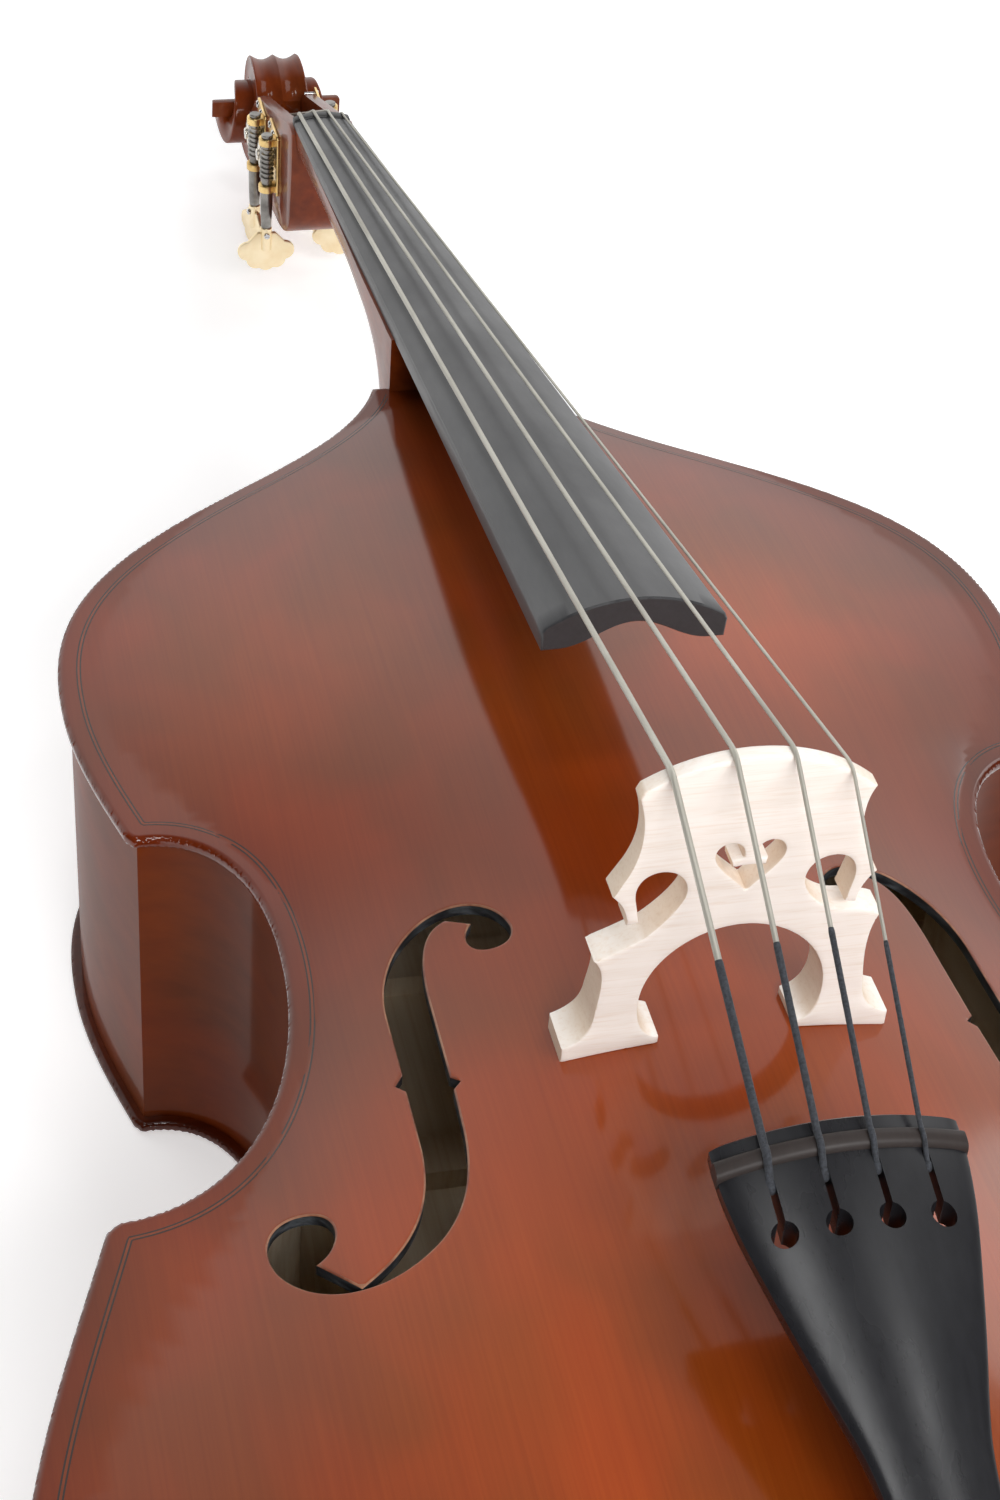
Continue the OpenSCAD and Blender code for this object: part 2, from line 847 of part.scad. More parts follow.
function string_route(i, name) =
    let (
        r = string_r[i],
        m = machine(name),
        tx = tail_string_x[i],
        bx = bridge_spread * string_place[i],
        nx = nut_spread * string_place[i],
        sx = 3.5 * string_place[i],
        rz = tail_z(ridge_y) + 9 + 9 * (1 - pow(tx / 53, 2)) + 3.4,
        nz = nut_height(nx) + r + string_gap,
        wr = (drum_r + r + 0.5) / cos(180 / wrap_steps)
    )
    concat(
        [
            [tx, ridge_y - 9, rz - 7],
            [tx, ridge_y - 2, rz + r + string_gap - 1],
            [tx, ridge_y + 3, rz + r + string_gap + 0.2]
        ],
        [
            [bx, -8, top_z + bridge_top(bx) + r + string_gap - 0.5],
            [bx, -4, top_z + bridge_top(bx) + r + string_gap],
            [bx, 0, top_z + bridge_top(bx) + r + string_gap - 0.3],
            [nx, nut_y, nz + 0.4],
            [nx, nut_y + 5, nz],
            [nx, nut_y + 9, nz - 1.4]
        ],
        [for (k = [0:wrap_turns * wrap_steps])
            let (a = 70 - 360 * k / wrap_steps)
            [sx + m[1] * -2.05 * r * k / wrap_steps, m[2] + wr * cos(a), m[3] + wr * sin(a)]]
    );

// top of the nut over x
function nut_height(x) = seat(nut_y) + 5 - 60 + sqrt(64.2 * 64.2 - x * x);

module string(i, name) {
    route = string_route(i, name);
    color(steel)
        loft(tube_rings(route, [for (p = route) string_r[i]], 8));
}

// ---- tuning machines ----

plate_x = pegbox_half;
plate_thick = 2;
worm_x = 33;
worm_dy = -17;
worm_r = 5.6;
shaft_r = 3;
gear_r = 11;
key_drop = 76;

// places a machine's parts: x outward from the cheek, y and z from its string post
module at_machine(name) {
    m = machine(name);
    translate([0, m[2], m[3]])
        mirror([m[1] < 0 ? 1 : 0, 0, 0])
        children();
}

module tuner_plate(name) {
    color(brass)
        at_machine(name)
        difference() {
            union() {
                translate([plate_x, -25, -26]) cube([plate_thick, 38, 52]);
                for (z = [-23, 17])
                    translate([0, worm_dy, z]) {
                        translate([worm_x, 0, 0]) cylinder(r = 6.5, h = 6);
                        translate([plate_x, -5, 0]) cube([worm_x - plate_x, 10, 6]);
                    }
            }
            translate([worm_x, worm_dy, -40]) cylinder(r = shaft_r + fit, h = 80);
            translate([plate_x - 5, 0, 0]) rotate([0, 90, 0]) cylinder(r = bearing_r + fit, h = 20);
        }
}

module plate_screws() {
    color(steel)
        for (m = machines)
            at_machine(m[0])
            for (y = [-7, 9], z = [-21, 21])
                translate([plate_x - 8, y, z])
                rotate([0, 90, 0]) {
                    cylinder(r = 1.4, h = 9);
                    translate([0, 0, 8 + plate_thick]) cylinder(r1 = 3, r2 = 2.2, h = 1.6);
                    cylinder(r = 1.4, h = 8 + plate_thick);
                }
}

// worm shaft with its thread between the two bearings
module worm(name) {
    color(steel)
        at_machine(name)
        translate([worm_x, worm_dy, 0]) {
            translate([0, 0, -62]) cylinder(r = shaft_r, h = 62 + 25.5);
            translate([0, 0, 23.3]) cylinder(r = 4.6, h = 2.2);
            translate([0, 0, -16.7]) cylinder(r = 4.4, h = 33.4);
            for (z = [-14:4:14])
                translate([0, 0, z - 1]) cylinder(r = worm_r, h = 2);
            translate([0, 0, -54.6]) cylinder(r1 = 4.2, r2 = 5, h = 25);
            translate([0, 0, -30]) cylinder(r = 5, h = 6.7);
        }
}

key_t = 4;

// how far each key is turned at rest
function key_spin(name) = name == "a" ? 75 : 0;

module key_outline() {
    for (side = [-1, 1]) {
        translate([side * 15, 0]) circle(8);
        translate([side * 8, -7.5]) circle(8);
    }
    translate([0, -10]) circle(7.5);
    polygon([[-15, -8], [15, -8], [15, 8], [7.5, 16], [-7.5, 16], [-15, 8]]);
}

module key(name) {
    color(brass)
        at_machine(name)
        translate([worm_x, worm_dy, -key_drop])
        rotate([0, 0, key_spin(name)])
        difference() {
            union() {
                rotate([90, 0, 0])
                    translate([0, 0, -key_t / 2])
                    linear_extrude(key_t)
                    key_outline();
                translate([0, 0, 2]) cylinder(r = 4.6, h = 19);
            }
            translate([0, 0, 4]) cylinder(r = shaft_r + fit, h = 20);
            translate([0, 0, 15]) rotate([90, 0, 0]) cylinder(r = 1.3, h = 10);
        }
}

module key_screw(name) {
    color(steel)
        at_machine(name)
        translate([worm_x, worm_dy, -key_drop + 15])
        rotate([0, 0, key_spin(name)])
        rotate([90, 0, 0]) {
            translate([0, 0, shaft_r + fit]) cylinder(r = 1.3, h = 3);
            translate([0, 0, 4.6]) cylinder(r = 2.4, h = 1.6);
        }
}

module string_post(name) {
    color(steel)
        at_machine(name)
        rotate([0, 90, 0])
        difference() {
            union() {
                translate([0, 0, -21]) cylinder(r = bearing_r, h = 21 - slot_half + 0.5);
                translate([0, 0, -slot_half]) cylinder(r = drum_r, h = 2 * slot_half);
                translate([0, 0, slot_half - 0.5]) cylinder(r = bearing_r, h = 29.5 - slot_half + 0.5);
                translate([0, 0, 29]) cylinder(r = 3, h = 9.5);
            }
            rotate([90, 0, 0]) cylinder(r = 1.3, h = 20, center = true);
        }
}

gear_teeth = 24;

module gear(name) {
    color(brass)
        at_machine(name)
        translate([29.7, 0, 0])
        rotate([0, 90, 0])
        difference() {
            union() {
                linear_extrude(6.6)
                    difference() {
                        circle(gear_r);
                        for (i = [0:gear_teeth - 1])
                            rotate(360 * i / gear_teeth)
                            translate([gear_r, 0])
                            polygon([[0.5, -0.9], [0.5, 0.9], [-1.8, 0.35], [-1.8, -0.35]]);
                    }
                translate([0, 0, 6.6]) cylinder(r = 4.6, h = 2.4);
            }
            translate([0, 0, -1]) cylinder(r = 3, h = 9.8);
        }
}

// ---- endpin ----

collar_y = -lower_len + overhang;

module endpin_socket() {
    color(ebony)
        translate([0, collar_y - 4, endpin_z])
        rotate([-90, 0, 0])
        difference() {
            cylinder(r = socket_r, h = 44);
            translate([0, 0, -1]) cylinder(r = rod_r + 0.08, h = 60);
        }
}

module endpin_collar() {
    color(steel)
        difference() {
            translate([0, collar_y, endpin_z])
                rotate([90, 0, 0])
                rotate_extrude()
                polygon([
                    [rod_r + 0.08, 4], [socket_r, 4], [socket_r, 0], [21, 0], [21, 3], [20, 8],
                    [14, 10], [14, 16], [20, 18], [20, 22], [15, 24], [13, 34], [rod_r + 0.08, 34]
                ]);
            translate([0, collar_y - 28, endpin_z]) cylinder(r = 3.05, h = 30);
        }
}

module endpin_rod() {
    color(steel)
        translate([0, collar_y - 54, endpin_z])
        rotate([-90, 0, 0])
        cylinder(r = rod_r, h = rod_len);
}

module endpin_tip() {
    color(ebony)
        translate([0, collar_y - 54, endpin_z])
        rotate([90, 0, 0])
        difference() {
            translate([0, 0, -16])
                rotate_extrude()
                polygon(concat([[0, 0], [9, 0], [11, 10]],
                    curve([[11, 10], [15, 18], [14, 30], [0, 32]], 6)));
            translate([0, 0, -17]) cylinder(r = rod_r, h = 17);
        }
}

module endpin_screw() {
    color(steel)
        translate([0, collar_y - 28, endpin_z + rod_r + 0.4]) {
            cylinder(r = 3, h = 17);
            translate([0, 0, 15.6]) cylinder(r = 6, h = 4);
            translate([-9, -1.5, 18.6]) cube([18, 3, 9]);
        }
}

top_plate();
top_purfling();
back_plate();
rib(0, 1);  // rib_upper_left
rib(0, 0);  // rib_upper_right
rib(1, 1);  // rib_waist_left
rib(1, 0);  // rib_waist_right
rib(2, 1);  // rib_lower_left
rib(2, 0);  // rib_lower_right
upper_block();
lower_block();
corner_blocks();
linings();
back_braces();
bass_bar();
sound_post();
neck();
fingerboard();
nut();
bridge();
saddle();
tailpiece();
tail_wire();
string(0, "e");  // string_e
string(1, "a");  // string_a
string(2, "d");  // string_d
string(3, "g");  // string_g
tuner_plate("e");  // tuner_plate_e
tuner_plate("a");  // tuner_plate_a
tuner_plate("d");  // tuner_plate_d
tuner_plate("g");  // tuner_plate_g
plate_screws();
worm("e");  // worm_e
worm("a");  // worm_a
worm("d");  // worm_d
worm("g");  // worm_g
key("e");  // key_e
key("a");  // key_a
key("d");  // key_d
key("g");  // key_g
key_screw("e");  // key_screw_e
key_screw("a");  // key_screw_a
key_screw("d");  // key_screw_d
key_screw("g");  // key_screw_g
string_post("e");  // string_post_e
string_post("a");  // string_post_a
string_post("d");  // string_post_d
string_post("g");  // string_post_g
gear("e");  // gear_e
gear("a");  // gear_a
gear("d");  // gear_d
gear("g");  // gear_g
endpin_socket();
endpin_collar();
endpin_rod();
endpin_tip();
endpin_screw();
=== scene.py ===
"""Looks of the double bass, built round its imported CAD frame. Lengths are in mm until a mesh is made."""

import math

import bmesh
import bpy
import numpy as np
from mathutils import Matrix, Vector
from mathutils.geometry import delaunay_2d_cdt
from mathutils.kdtree import KDTree


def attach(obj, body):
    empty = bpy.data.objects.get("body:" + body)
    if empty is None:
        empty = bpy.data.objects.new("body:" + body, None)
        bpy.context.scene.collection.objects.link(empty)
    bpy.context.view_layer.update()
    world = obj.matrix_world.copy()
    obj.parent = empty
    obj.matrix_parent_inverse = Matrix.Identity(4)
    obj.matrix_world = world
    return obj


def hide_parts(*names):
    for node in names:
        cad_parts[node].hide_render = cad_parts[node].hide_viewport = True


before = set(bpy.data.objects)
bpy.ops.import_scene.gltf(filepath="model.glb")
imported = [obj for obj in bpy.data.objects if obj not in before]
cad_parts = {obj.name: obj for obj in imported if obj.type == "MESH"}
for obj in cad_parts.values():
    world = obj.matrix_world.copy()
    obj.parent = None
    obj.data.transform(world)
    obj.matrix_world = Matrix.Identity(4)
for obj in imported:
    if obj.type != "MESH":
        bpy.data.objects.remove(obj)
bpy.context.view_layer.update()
rng = np.random.default_rng(5)

# ---- sizes, as in the CAD source ----

UPPER_LEN, LOWER_LEN = 606, 500
UPPER_HALF, WAIST_HALF, LOWER_HALF = 268, 184, 339
TOP_Z, PLATE_T, ARCH_H = 214, 7, 34
RIB_TOP = TOP_Z - PLATE_T
OVERHANG, RIB_T = 6, 2.5
FOLD_Y, FOLD_RISE = 385, 54
NECK_NOTCH, SADDLE_HALF, SADDLE_DEPTH = 36, 30, 14
HEEL_Y, NUT_Y, BOARD_END = 600, 1048, 180
BOARD_W0, BOARD_W1 = 47, 21.5
SCROLL_Y, SCROLL_Z = 1264, TOP_Z - 138
PEGBOX_HALF, SLOT_HALF = 24.5, 14.5
ENDPIN_Z = 107
MACHINES = {  # each string post: its side, y and z
    "e": (-1, 1122, TOP_Z - 101),
    "g": (1, 1152, TOP_Z - 107),
    "a": (-1, 1183, TOP_Z - 113),
    "d": (1, 1212, TOP_Z - 120),
}


# ---- shapes: a shape is (points, faces) ----

def bezier(a, b, c, d, step=3.0):
    """Points of one cubic curve, about step apart, without its first."""
    p = np.array([a, b, c, d], float)
    length = np.linalg.norm(np.diff(p, axis=0), axis=1).sum()
    t = np.linspace(0, 1, max(3, int(length / step)) + 1)[1:, None]
    return (1 - t) ** 3 * p[0] + 3 * t * (1 - t) ** 2 * p[1] + 3 * t * t * (1 - t) * p[2] + t ** 3 * p[3]


def resample(line, step, closed=False):
    """The same line with points about step apart."""
    line = np.asarray(line, float)
    if closed:
        line = np.vstack([line, line[:1]])
    s = np.concatenate([[0], np.cumsum(np.linalg.norm(np.diff(line, axis=0), axis=1))])
    n = max(2, int(round(s[-1] / step)) + 1)
    t = np.linspace(0, s[-1], n)
    out = np.column_stack([np.interp(t, s, line[:, k]) for k in range(line.shape[1])])
    return out[:-1] if closed else out


def refine(line, step):
    """A closed line with points added so that none are further apart than step; its corners stay."""
    line = np.asarray(line, float)
    out = []
    for a, b in zip(line, np.roll(line, -1, axis=0)):
        n = max(1, math.ceil(np.linalg.norm(b - a) / step))
        out += [a + (b - a) * i / n for i in range(n)]
    return np.array(out)


def join(*shapes):
    points, faces, n = [], [], 0
    for p, f in shapes:
        points.append(np.asarray(p, float))
        faces += [[i + n for i in face] for face in f]
        n += len(p)
    return np.vstack(points), faces


def flipped(shape):
    return shape[0], [list(reversed(f)) for f in shape[1]]


def mirrored(shape):
    """The shape's mirror image in x."""
    return flipped((np.asarray(shape[0]) * [-1, 1, 1], shape[1]))


def moved(shape, by):
    return np.asarray(shape[0], float) + np.asarray(by, float), shape[1]


def loft(rings):
    """A body through rings with the same number of points, anticlockwise seen from the last ring."""
    count, faces = len(rings[0]), []
    for i in range(len(rings) - 1):
        for j in range(count):
            k = (j + 1) % count
            faces.append([i * count + j, i * count + k, (i + 1) * count + k, (i + 1) * count + j])
    last = (len(rings) - 1) * count
    faces += [list(range(count - 1, -1, -1)), [last + j for j in range(count)]]
    return np.vstack(rings), faces


def unit(v):
    v = np.asarray(v, float)
    return v / np.linalg.norm(v)


def around(origin, s, u, radius, sides):
    """A ring of points about an origin, across the directions s and u."""
    a = np.linspace(0, 2 * math.pi, sides, endpoint=False)[:, None]
    return origin + radius * (np.cos(a) * s + np.sin(a) * u)


def tube(route, radii, sides=16):
    """A round body along a route, with one radius for each of its points."""
    route, s, rings = np.asarray(route, float), np.array((1, 0, 0.02)), []
    for i, p in enumerate(route):
        d = unit(route[min(i + 1, len(route) - 1)] - route[max(i - 1, 0)])
        s = unit(s - s.dot(d) * d)
        rings.append(around(p, s, np.cross(d, s), radii[i], sides))
    return loft(rings)


def lathe(profile, origin, axis, sides=40):
    """A turned body: profile is (radius, distance along the axis), from its first end to its last."""
    d = unit(axis)
    s = unit(np.cross(d, (0, 0, 1) if abs(d[2]) < 0.9 else (1, 0, 0)))
    origin, u = np.asarray(origin), np.cross(d, s)
    return loft([around(origin + d * t, s, u, max(r, 0.02), sides) for r, t in profile])


def turned_ring(profile, origin, axis, sides=40):
    """A turned body with a hole through it: profile is a closed line of (radius, distance along the axis)."""
    points, faces = lathe([*profile, profile[0]], origin, axis, sides)
    count = len(profile) * sides
    area = sum(a[0] * b[1] - b[0] * a[1] for a, b in zip(profile, profile[1:] + profile[:1]))
    shape = points[:count], [[i % count for i in f] for f in faces[:-2]]
    return shape if area > 0 else flipped(shape)


def normals_2d(loop):
    """Inward normals of a closed anticlockwise loop."""
    t = np.roll(loop, -1, axis=0) - np.roll(loop, 1, axis=0)
    n = np.column_stack([-t[:, 1], t[:, 0]])
    return n / np.maximum(np.linalg.norm(n, axis=1), 1e-9)[:, None]


def slab(outline, low, high, edge, to_xyz):
    """A plate with that anticlockwise outline, from low to high, with rounded edges.
    to_xyz maps (u, v, t) to space."""
    n = normals_2d(outline)
    steps = [(edge, low), (edge * 0.3, low + edge * 0.3), (0, low + edge),
             (0, high - edge), (edge * 0.3, high - edge * 0.3), (edge, high)]
    rings = [np.column_stack([outline + n * inset, np.full(len(outline), t)]) for inset, t in steps]
    points, faces = loft(rings)
    return to_xyz(points), faces


def nearest(points, loop):
    """The point of a closed line that is nearest to each point."""
    line = refine(loop, 2.0)
    tree = KDTree(len(line))
    for i, (x, y) in enumerate(line):
        tree.insert((x, y, 0), i)
    tree.balance()
    at = np.array([tree.find((x, y, 0))[1] for x, y in points.tolist()])
    best, gap = np.empty((len(points), 2)), np.full(len(points), np.inf)
    for k in (-1, 0):
        a = line[(at + k) % len(line)]
        d = line[(at + k + 1) % len(line)] - a
        t = np.clip(((points - a) * d).sum(1) / np.maximum((d * d).sum(1), 1e-12), 0, 1)[:, None]
        q = a + t * d
        g = np.linalg.norm(points - q, axis=1)
        best[g < gap], gap = q[g < gap], np.minimum(g, gap)
    return best


def distance(points, loop):
    return np.linalg.norm(points - nearest(points, loop), axis=1)


def inside(points, loop):
    """Whether each point is inside a closed line."""
    a, b = loop, np.roll(loop, -1, axis=0)
    out = np.empty(len(points), bool)
    for i in range(0, len(points), 800):
        x, y = points[i:i + 800, 0, None], points[i:i + 800, 1, None]
        crosses = (a[:, 1] > y) != (b[:, 1] > y)
        with np.errstate(divide="ignore", invalid="ignore"):
            at = a[:, 0] + (y - a[:, 1]) / (b[:, 1] - a[:, 1]) * (b[:, 0] - a[:, 0])
        out[i:i + 800] = (crosses & (x < at)).sum(1) % 2 == 1
    return out


def triangulated(outer, holes, extra):
    """Triangles that fill the outline but not its holes, through the extra points too."""
    loops, edges, n = [outer, *holes], [], 0
    for loop in loops:
        edges += [(n + i, n + (i + 1) % len(loop)) for i in range(len(loop))]
        n += len(loop)
    points = np.vstack([*loops, extra])
    made = delaunay_2d_cdt([Vector(p) for p in points], edges, [], 0, 1e-5)
    verts = np.array([tuple(v) for v in made[0]])
    faces = np.array([list(f) for f in made[2]])
    middle = verts[faces].mean(1)
    keep = inside(middle, outer)
    for hole in holes:
        keep &= ~inside(middle, hole)
    faces = faces[keep]
    a, b, c = verts[faces[:, 0]], verts[faces[:, 1]], verts[faces[:, 2]]
    turn = (b[:, 0] - a[:, 0]) * (c[:, 1] - a[:, 1]) - (b[:, 1] - a[:, 1]) * (c[:, 0] - a[:, 0])
    faces[turn < 0] = faces[turn < 0][:, ::-1]
    used = np.unique(faces)
    index = np.full(len(verts), -1)
    index[used] = np.arange(len(used))
    return verts[used], index[faces[np.abs(turn) > 1e-9]]


def rim_edges(faces):
    """The directed edges that only one triangle has."""
    edges = np.vstack([faces[:, [0, 1]], faces[:, [1, 2]], faces[:, [2, 0]]])
    have = set(map(tuple, edges.tolist()))
    return [e for e in have if (e[1], e[0]) not in have]


def two_sided(triangles, high, low):
    """The points, faces and walls of a closed body between two surfaces over the same triangles."""
    n = len(high)
    faces = [list(t) for t in triangles] + [[c + n, b + n, a + n] for a, b, c in triangles]
    walls = [[b, a, a + n, b + n] for a, b in rim_edges(triangles)]
    return np.vstack([high, low]), faces, walls


def anticlockwise(loop):
    loop = np.asarray(loop, float)
    nxt = np.roll(loop, -1, axis=0)
    return loop if (loop[:, 0] * nxt[:, 1] - nxt[:, 0] * loop[:, 1]).sum() > 0 else loop[::-1]


def across_x(points):
    """(u, v, t) to space with u along y, v along z and t along x."""
    return np.column_stack([points[:, 2], points[:, 0], points[:, 1]])


def flat_z(points):
    """(u, v, t) to space as they are, with t along z."""
    return points


# ---- materials ----

def new_material(name, **values):
    material = bpy.data.materials.new(name)
    material.use_nodes = True
    shader = material.node_tree.nodes["Principled BSDF"]
    for key, value in values.items():
        shader.inputs[key.replace("_", " ")].default_value = value
    return material, material.node_tree, shader


def add(tree, kind, inputs=None, **properties):
    node = tree.nodes.new(kind)
    for key, value in properties.items():
        setattr(node, key, value)
    for key, value in (inputs or {}).items():
        if isinstance(value, bpy.types.NodeSocket):
            tree.links.new(value, node.inputs[key])
        else:
            node.inputs[key].default_value = value
    return node


def feed(tree, shader, **sockets):
    """Links each socket to the shader's input of that name."""
    for key, socket in sockets.items():
        tree.links.new(socket, shader.inputs[key.replace("_", " ")])


def object_noise(tree, scale, detail=4.0, roughness=0.5, distortion=0.0):
    """Noise over the row frame, stretched by a scale per metre along x, y and z."""
    place = add(tree, "ShaderNodeTexCoord")
    mapped = add(tree, "ShaderNodeMapping", {"Vector": place.outputs["Object"], "Scale": scale})
    noise = add(tree, "ShaderNodeTexNoise", {
        "Vector": mapped.outputs["Vector"], "Scale": 1.0, "Detail": detail, "Roughness": roughness,
        "Distortion": distortion})
    return noise.outputs["Fac"]


def ramp(tree, fac, *stops):
    """A colour ramp: each stop is (place, colour)."""
    node = add(tree, "ShaderNodeValToRGB", {"Fac": fac})
    elements = node.color_ramp.elements
    while len(elements) > 1:
        elements.remove(elements[-1])
    for i, (place, colour) in enumerate(stops):
        e = elements[0] if i == 0 else elements.new(place)
        e.position = place
        e.color = (*colour, 1)
    return node.outputs["Color"]


def blended(tree, fac, a, b, mode="MIX"):
    node = add(tree, "ShaderNodeMix", data_type="RGBA", blend_type=mode)
    for socket, value in ((node.inputs[0], fac), (node.inputs[6], a), (node.inputs[7], b)):
        if isinstance(value, bpy.types.NodeSocket):
            tree.links.new(value, socket)
        else:
            socket.default_value = value if isinstance(value, float) else (*value, 1)
    return node.outputs[2]


def remap(tree, value, low, high, to_low, to_high):
    node = add(tree, "ShaderNodeMapRange", {"Value": value, "From Min": low, "From Max": high,
                                            "To Min": to_low, "To Max": to_high})
    return node.outputs["Result"]


def bump(tree, shader, *layers, socket="Normal"):
    """Stacked bumps: each layer is (height, strength, distance in metres)."""
    normal = None
    for height, strength, depth in layers:
        node = add(tree, "ShaderNodeBump", {"Height": height, "Strength": strength, "Distance": depth})
        if normal is not None:
            tree.links.new(normal, node.inputs["Normal"])
        normal = node.outputs["Normal"]
    tree.links.new(normal, shader.inputs[socket])


BURST_AND_SHADE_WIDTH = 170.0  # how far from a plate's edge the varnish goes on growing lighter, in mm: partly its sunburst, partly painted shade


def varnished(name, dark, light, grain, streak=0.5, coat=1.0, shaded_edge=False):
    """Wood under a clear varnish, which carries all the gloss. grain is the noise scale of its fibres."""
    material, tree, shader = new_material(name, Coat_Weight=coat, Coat_Roughness=0.1, Coat_IOR=1.5,
                                          Specular_IOR_Level=0.04)
    fibres = object_noise(tree, grain, 3, 0.55, 0.2)
    clouds = object_noise(tree, (6, 3.5, 6), 3, 0.5)
    tone = ramp(tree, fibres, (0.32, dark), (0.7, light))
    spray = object_noise(tree, (13, 9, 13), 2, 0.45, 0.4)
    deeper = ramp(tree, clouds, (0.3, (0.80, 0.74, 0.68)), (0.7, (1.14, 1.18, 1.16)))
    browner = ramp(tree, spray, (0.35, (0.82, 0.98, 1.1)), (0.65, (1.12, 1.04, 0.95)))
    colour = blended(tree, 1.0, blended(tree, 1.0, tone, deeper, "MULTIPLY"), browner, "MULTIPLY")
    # the varnish darkens towards the plate's edges and grows lighter inwards: partly its sunburst, partly
    # painted shade at the edges
    if shaded_edge:
        edge = add(tree, "ShaderNodeAttribute", attribute_name="edge_distance").outputs["Fac"]
        burst_and_shade = ramp(tree, remap(tree, edge, 0.0, BURST_AND_SHADE_WIDTH, 0.0, 1.0), (0.0, (0.46, 0.36, 0.34)),
                     (0.03, (0.60, 0.52, 0.5)), (0.2, (0.80, 0.76, 0.75)), (0.5, (0.93, 0.93, 0.93)),
                     (1.0, (1.24, 1.27, 1.27)))
        colour = blended(tree, 1.0, colour, burst_and_shade, "MULTIPLY")
    peel = object_noise(tree, (90, 60, 90), 2, 0.5)
    waves = object_noise(tree, (9, 5, 9), 1, 0.4)
    feed(tree, shader, Base_Color=colour, Roughness=remap(tree, clouds, 0.3, 0.7, 0.45, 0.6))
    bump(tree, shader, (fibres, streak, 0.0001))
    bump(tree, shader, (peel, 0.12, 0.0002), (waves, 0.3, 0.002), socket="Coat Normal")
    return material


def ebony_like(name, base, light, rough=(0.32, 0.5), specular=0.5):
    material, tree, shader = new_material(name, Specular_IOR_Level=specular)
    fibres = object_noise(tree, (380, 7, 380), 5, 0.6)
    rubbed = object_noise(tree, (22, 9, 22), 4, 0.6)
    feed(tree, shader, Base_Color=blended(tree, fibres, base, light),
         Roughness=remap(tree, rubbed, 0.3, 0.7, *rough))
    bump(tree, shader, (fibres, 0.25, 0.0001))
    return material


def metal(name, colour, dull, rough=(0.2, 0.38), scale=(60, 60, 60), metallic=1.0):
    """Plain metal with faint tarnish and wear."""
    material, tree, shader = new_material(name, Metallic=metallic)
    cloud = object_noise(tree, scale, 4, 0.6)
    fine = object_noise(tree, (900, 900, 900), 2, 0.5)
    feed(tree, shader, Base_Color=ramp(tree, cloud, (0.3, dull), (0.65, colour)),
         Roughness=remap(tree, cloud, 0.3, 0.7, rough[1], rough[0]))
    bump(tree, shader, (fine, 0.15, 0.00005))
    return material


belly_varnish = varnished("belly_varnish", (0.225, 0.0335, 0.002), (0.250, 0.040, 0.003), (750, 7, 20), 0.05,
                          shaded_edge=True)
back_varnish = varnished("back_varnish", (0.15, 0.026, 0.005), (0.21, 0.038, 0.007), (40, 160, 40), 0.2, 0.6,
                         shaded_edge=True)
rib_varnish = varnished("rib_varnish", (0.120, 0.0190, 0.0020), (0.148, 0.0245, 0.0024), (35, 35, 90), 0.08,
                        0.22)
neck_varnish = varnished("neck_varnish", (0.15, 0.024, 0.004), (0.22, 0.038, 0.006), (120, 9, 120), 0.2, 0.5)
fingerboard_ebony = ebony_like("fingerboard_ebony", (0.022, 0.022, 0.024), (0.045, 0.045, 0.048),
                               (0.34, 0.46))
ebony = ebony_like("ebony", (0.014, 0.013, 0.013), (0.034, 0.032, 0.031))
tailpiece_ebony = ebony_like("tailpiece_ebony", (0.006, 0.006, 0.007), (0.018, 0.018, 0.021), (0.23, 0.33),
                             0.4)
brass = metal("brass", (0.84, 0.62, 0.28), (0.62, 0.42, 0.17), (0.22, 0.4))
machine_steel = metal("machine_steel", (0.52, 0.52, 0.53), (0.36, 0.36, 0.37))
bright_steel = metal("bright_steel", (0.66, 0.66, 0.67), (0.5, 0.5, 0.51), (0.16, 0.3))
worm_steel = metal("worm_steel", (0.34, 0.33, 0.31), (0.16, 0.15, 0.14), (0.26, 0.42))
string_steel = metal("string_steel", (0.50, 0.48, 0.42), (0.40, 0.38, 0.33), (0.42, 0.55), (40, 12, 40),
                     0.55)
tail_wire_steel = metal("tail_wire_steel", (0.5, 0.5, 0.5), (0.35, 0.35, 0.35))
key_brass = metal("key_brass", (0.93, 0.80, 0.56), (0.86, 0.70, 0.44), (0.34, 0.5))
gear_metal = metal("gear_metal", (0.82, 0.78, 0.70), (0.66, 0.60, 0.50), (0.2, 0.4))
ridge_ebony = ebony_like("ridge_ebony", (0.016, 0.011, 0.010), (0.034, 0.025, 0.022), (0.42, 0.56), 0.3)


def pale_maple():
    """Unvarnished maple: cream, with short flecks along the grain, which runs across the bridge. Faces turned
    to ±x are tan: partly end grain, partly painted shade on the bridge's side walls.
    """
    material, tree, shader = new_material("bridge_maple", Specular_IOR_Level=0.35)
    flecks = object_noise(tree, (40, 500, 900), 3, 0.6, 0.2)
    bands = object_noise(tree, (5, 60, 220), 3, 0.5, 0.3)
    base = ramp(tree, bands, (0.3, (0.89, 0.82, 0.75)), (0.7, (0.94, 0.88, 0.82)))
    fleck = ramp(tree, flecks, (0.3, (0.94, 0.90, 0.86)), (0.5, (1, 1, 1)))
    normal = add(tree, "ShaderNodeTexCoord").outputs["Normal"]
    facing = add(tree, "ShaderNodeSeparateXYZ", {"Vector": normal})
    across = add(tree, "ShaderNodeMath", {0: facing.outputs["X"]}, operation="ABSOLUTE")
    # tan on the faces turned to ±x: partly end grain, partly painted shade on the bridge's side walls
    end_grain_and_side_shade = ramp(tree, across.outputs["Value"], (0.35, (1, 1, 1)), (0.8, (0.86, 0.76, 0.65)))
    colour = blended(tree, 1.0, blended(tree, 1.0, base, fleck, "MULTIPLY"), end_grain_and_side_shade, "MULTIPLY")
    feed(tree, shader, Base_Color=colour, Roughness=remap(tree, flecks, 0.3, 0.7, 0.62, 0.5))
    bump(tree, shader, (flecks, 0.25, 0.0001))
    return material


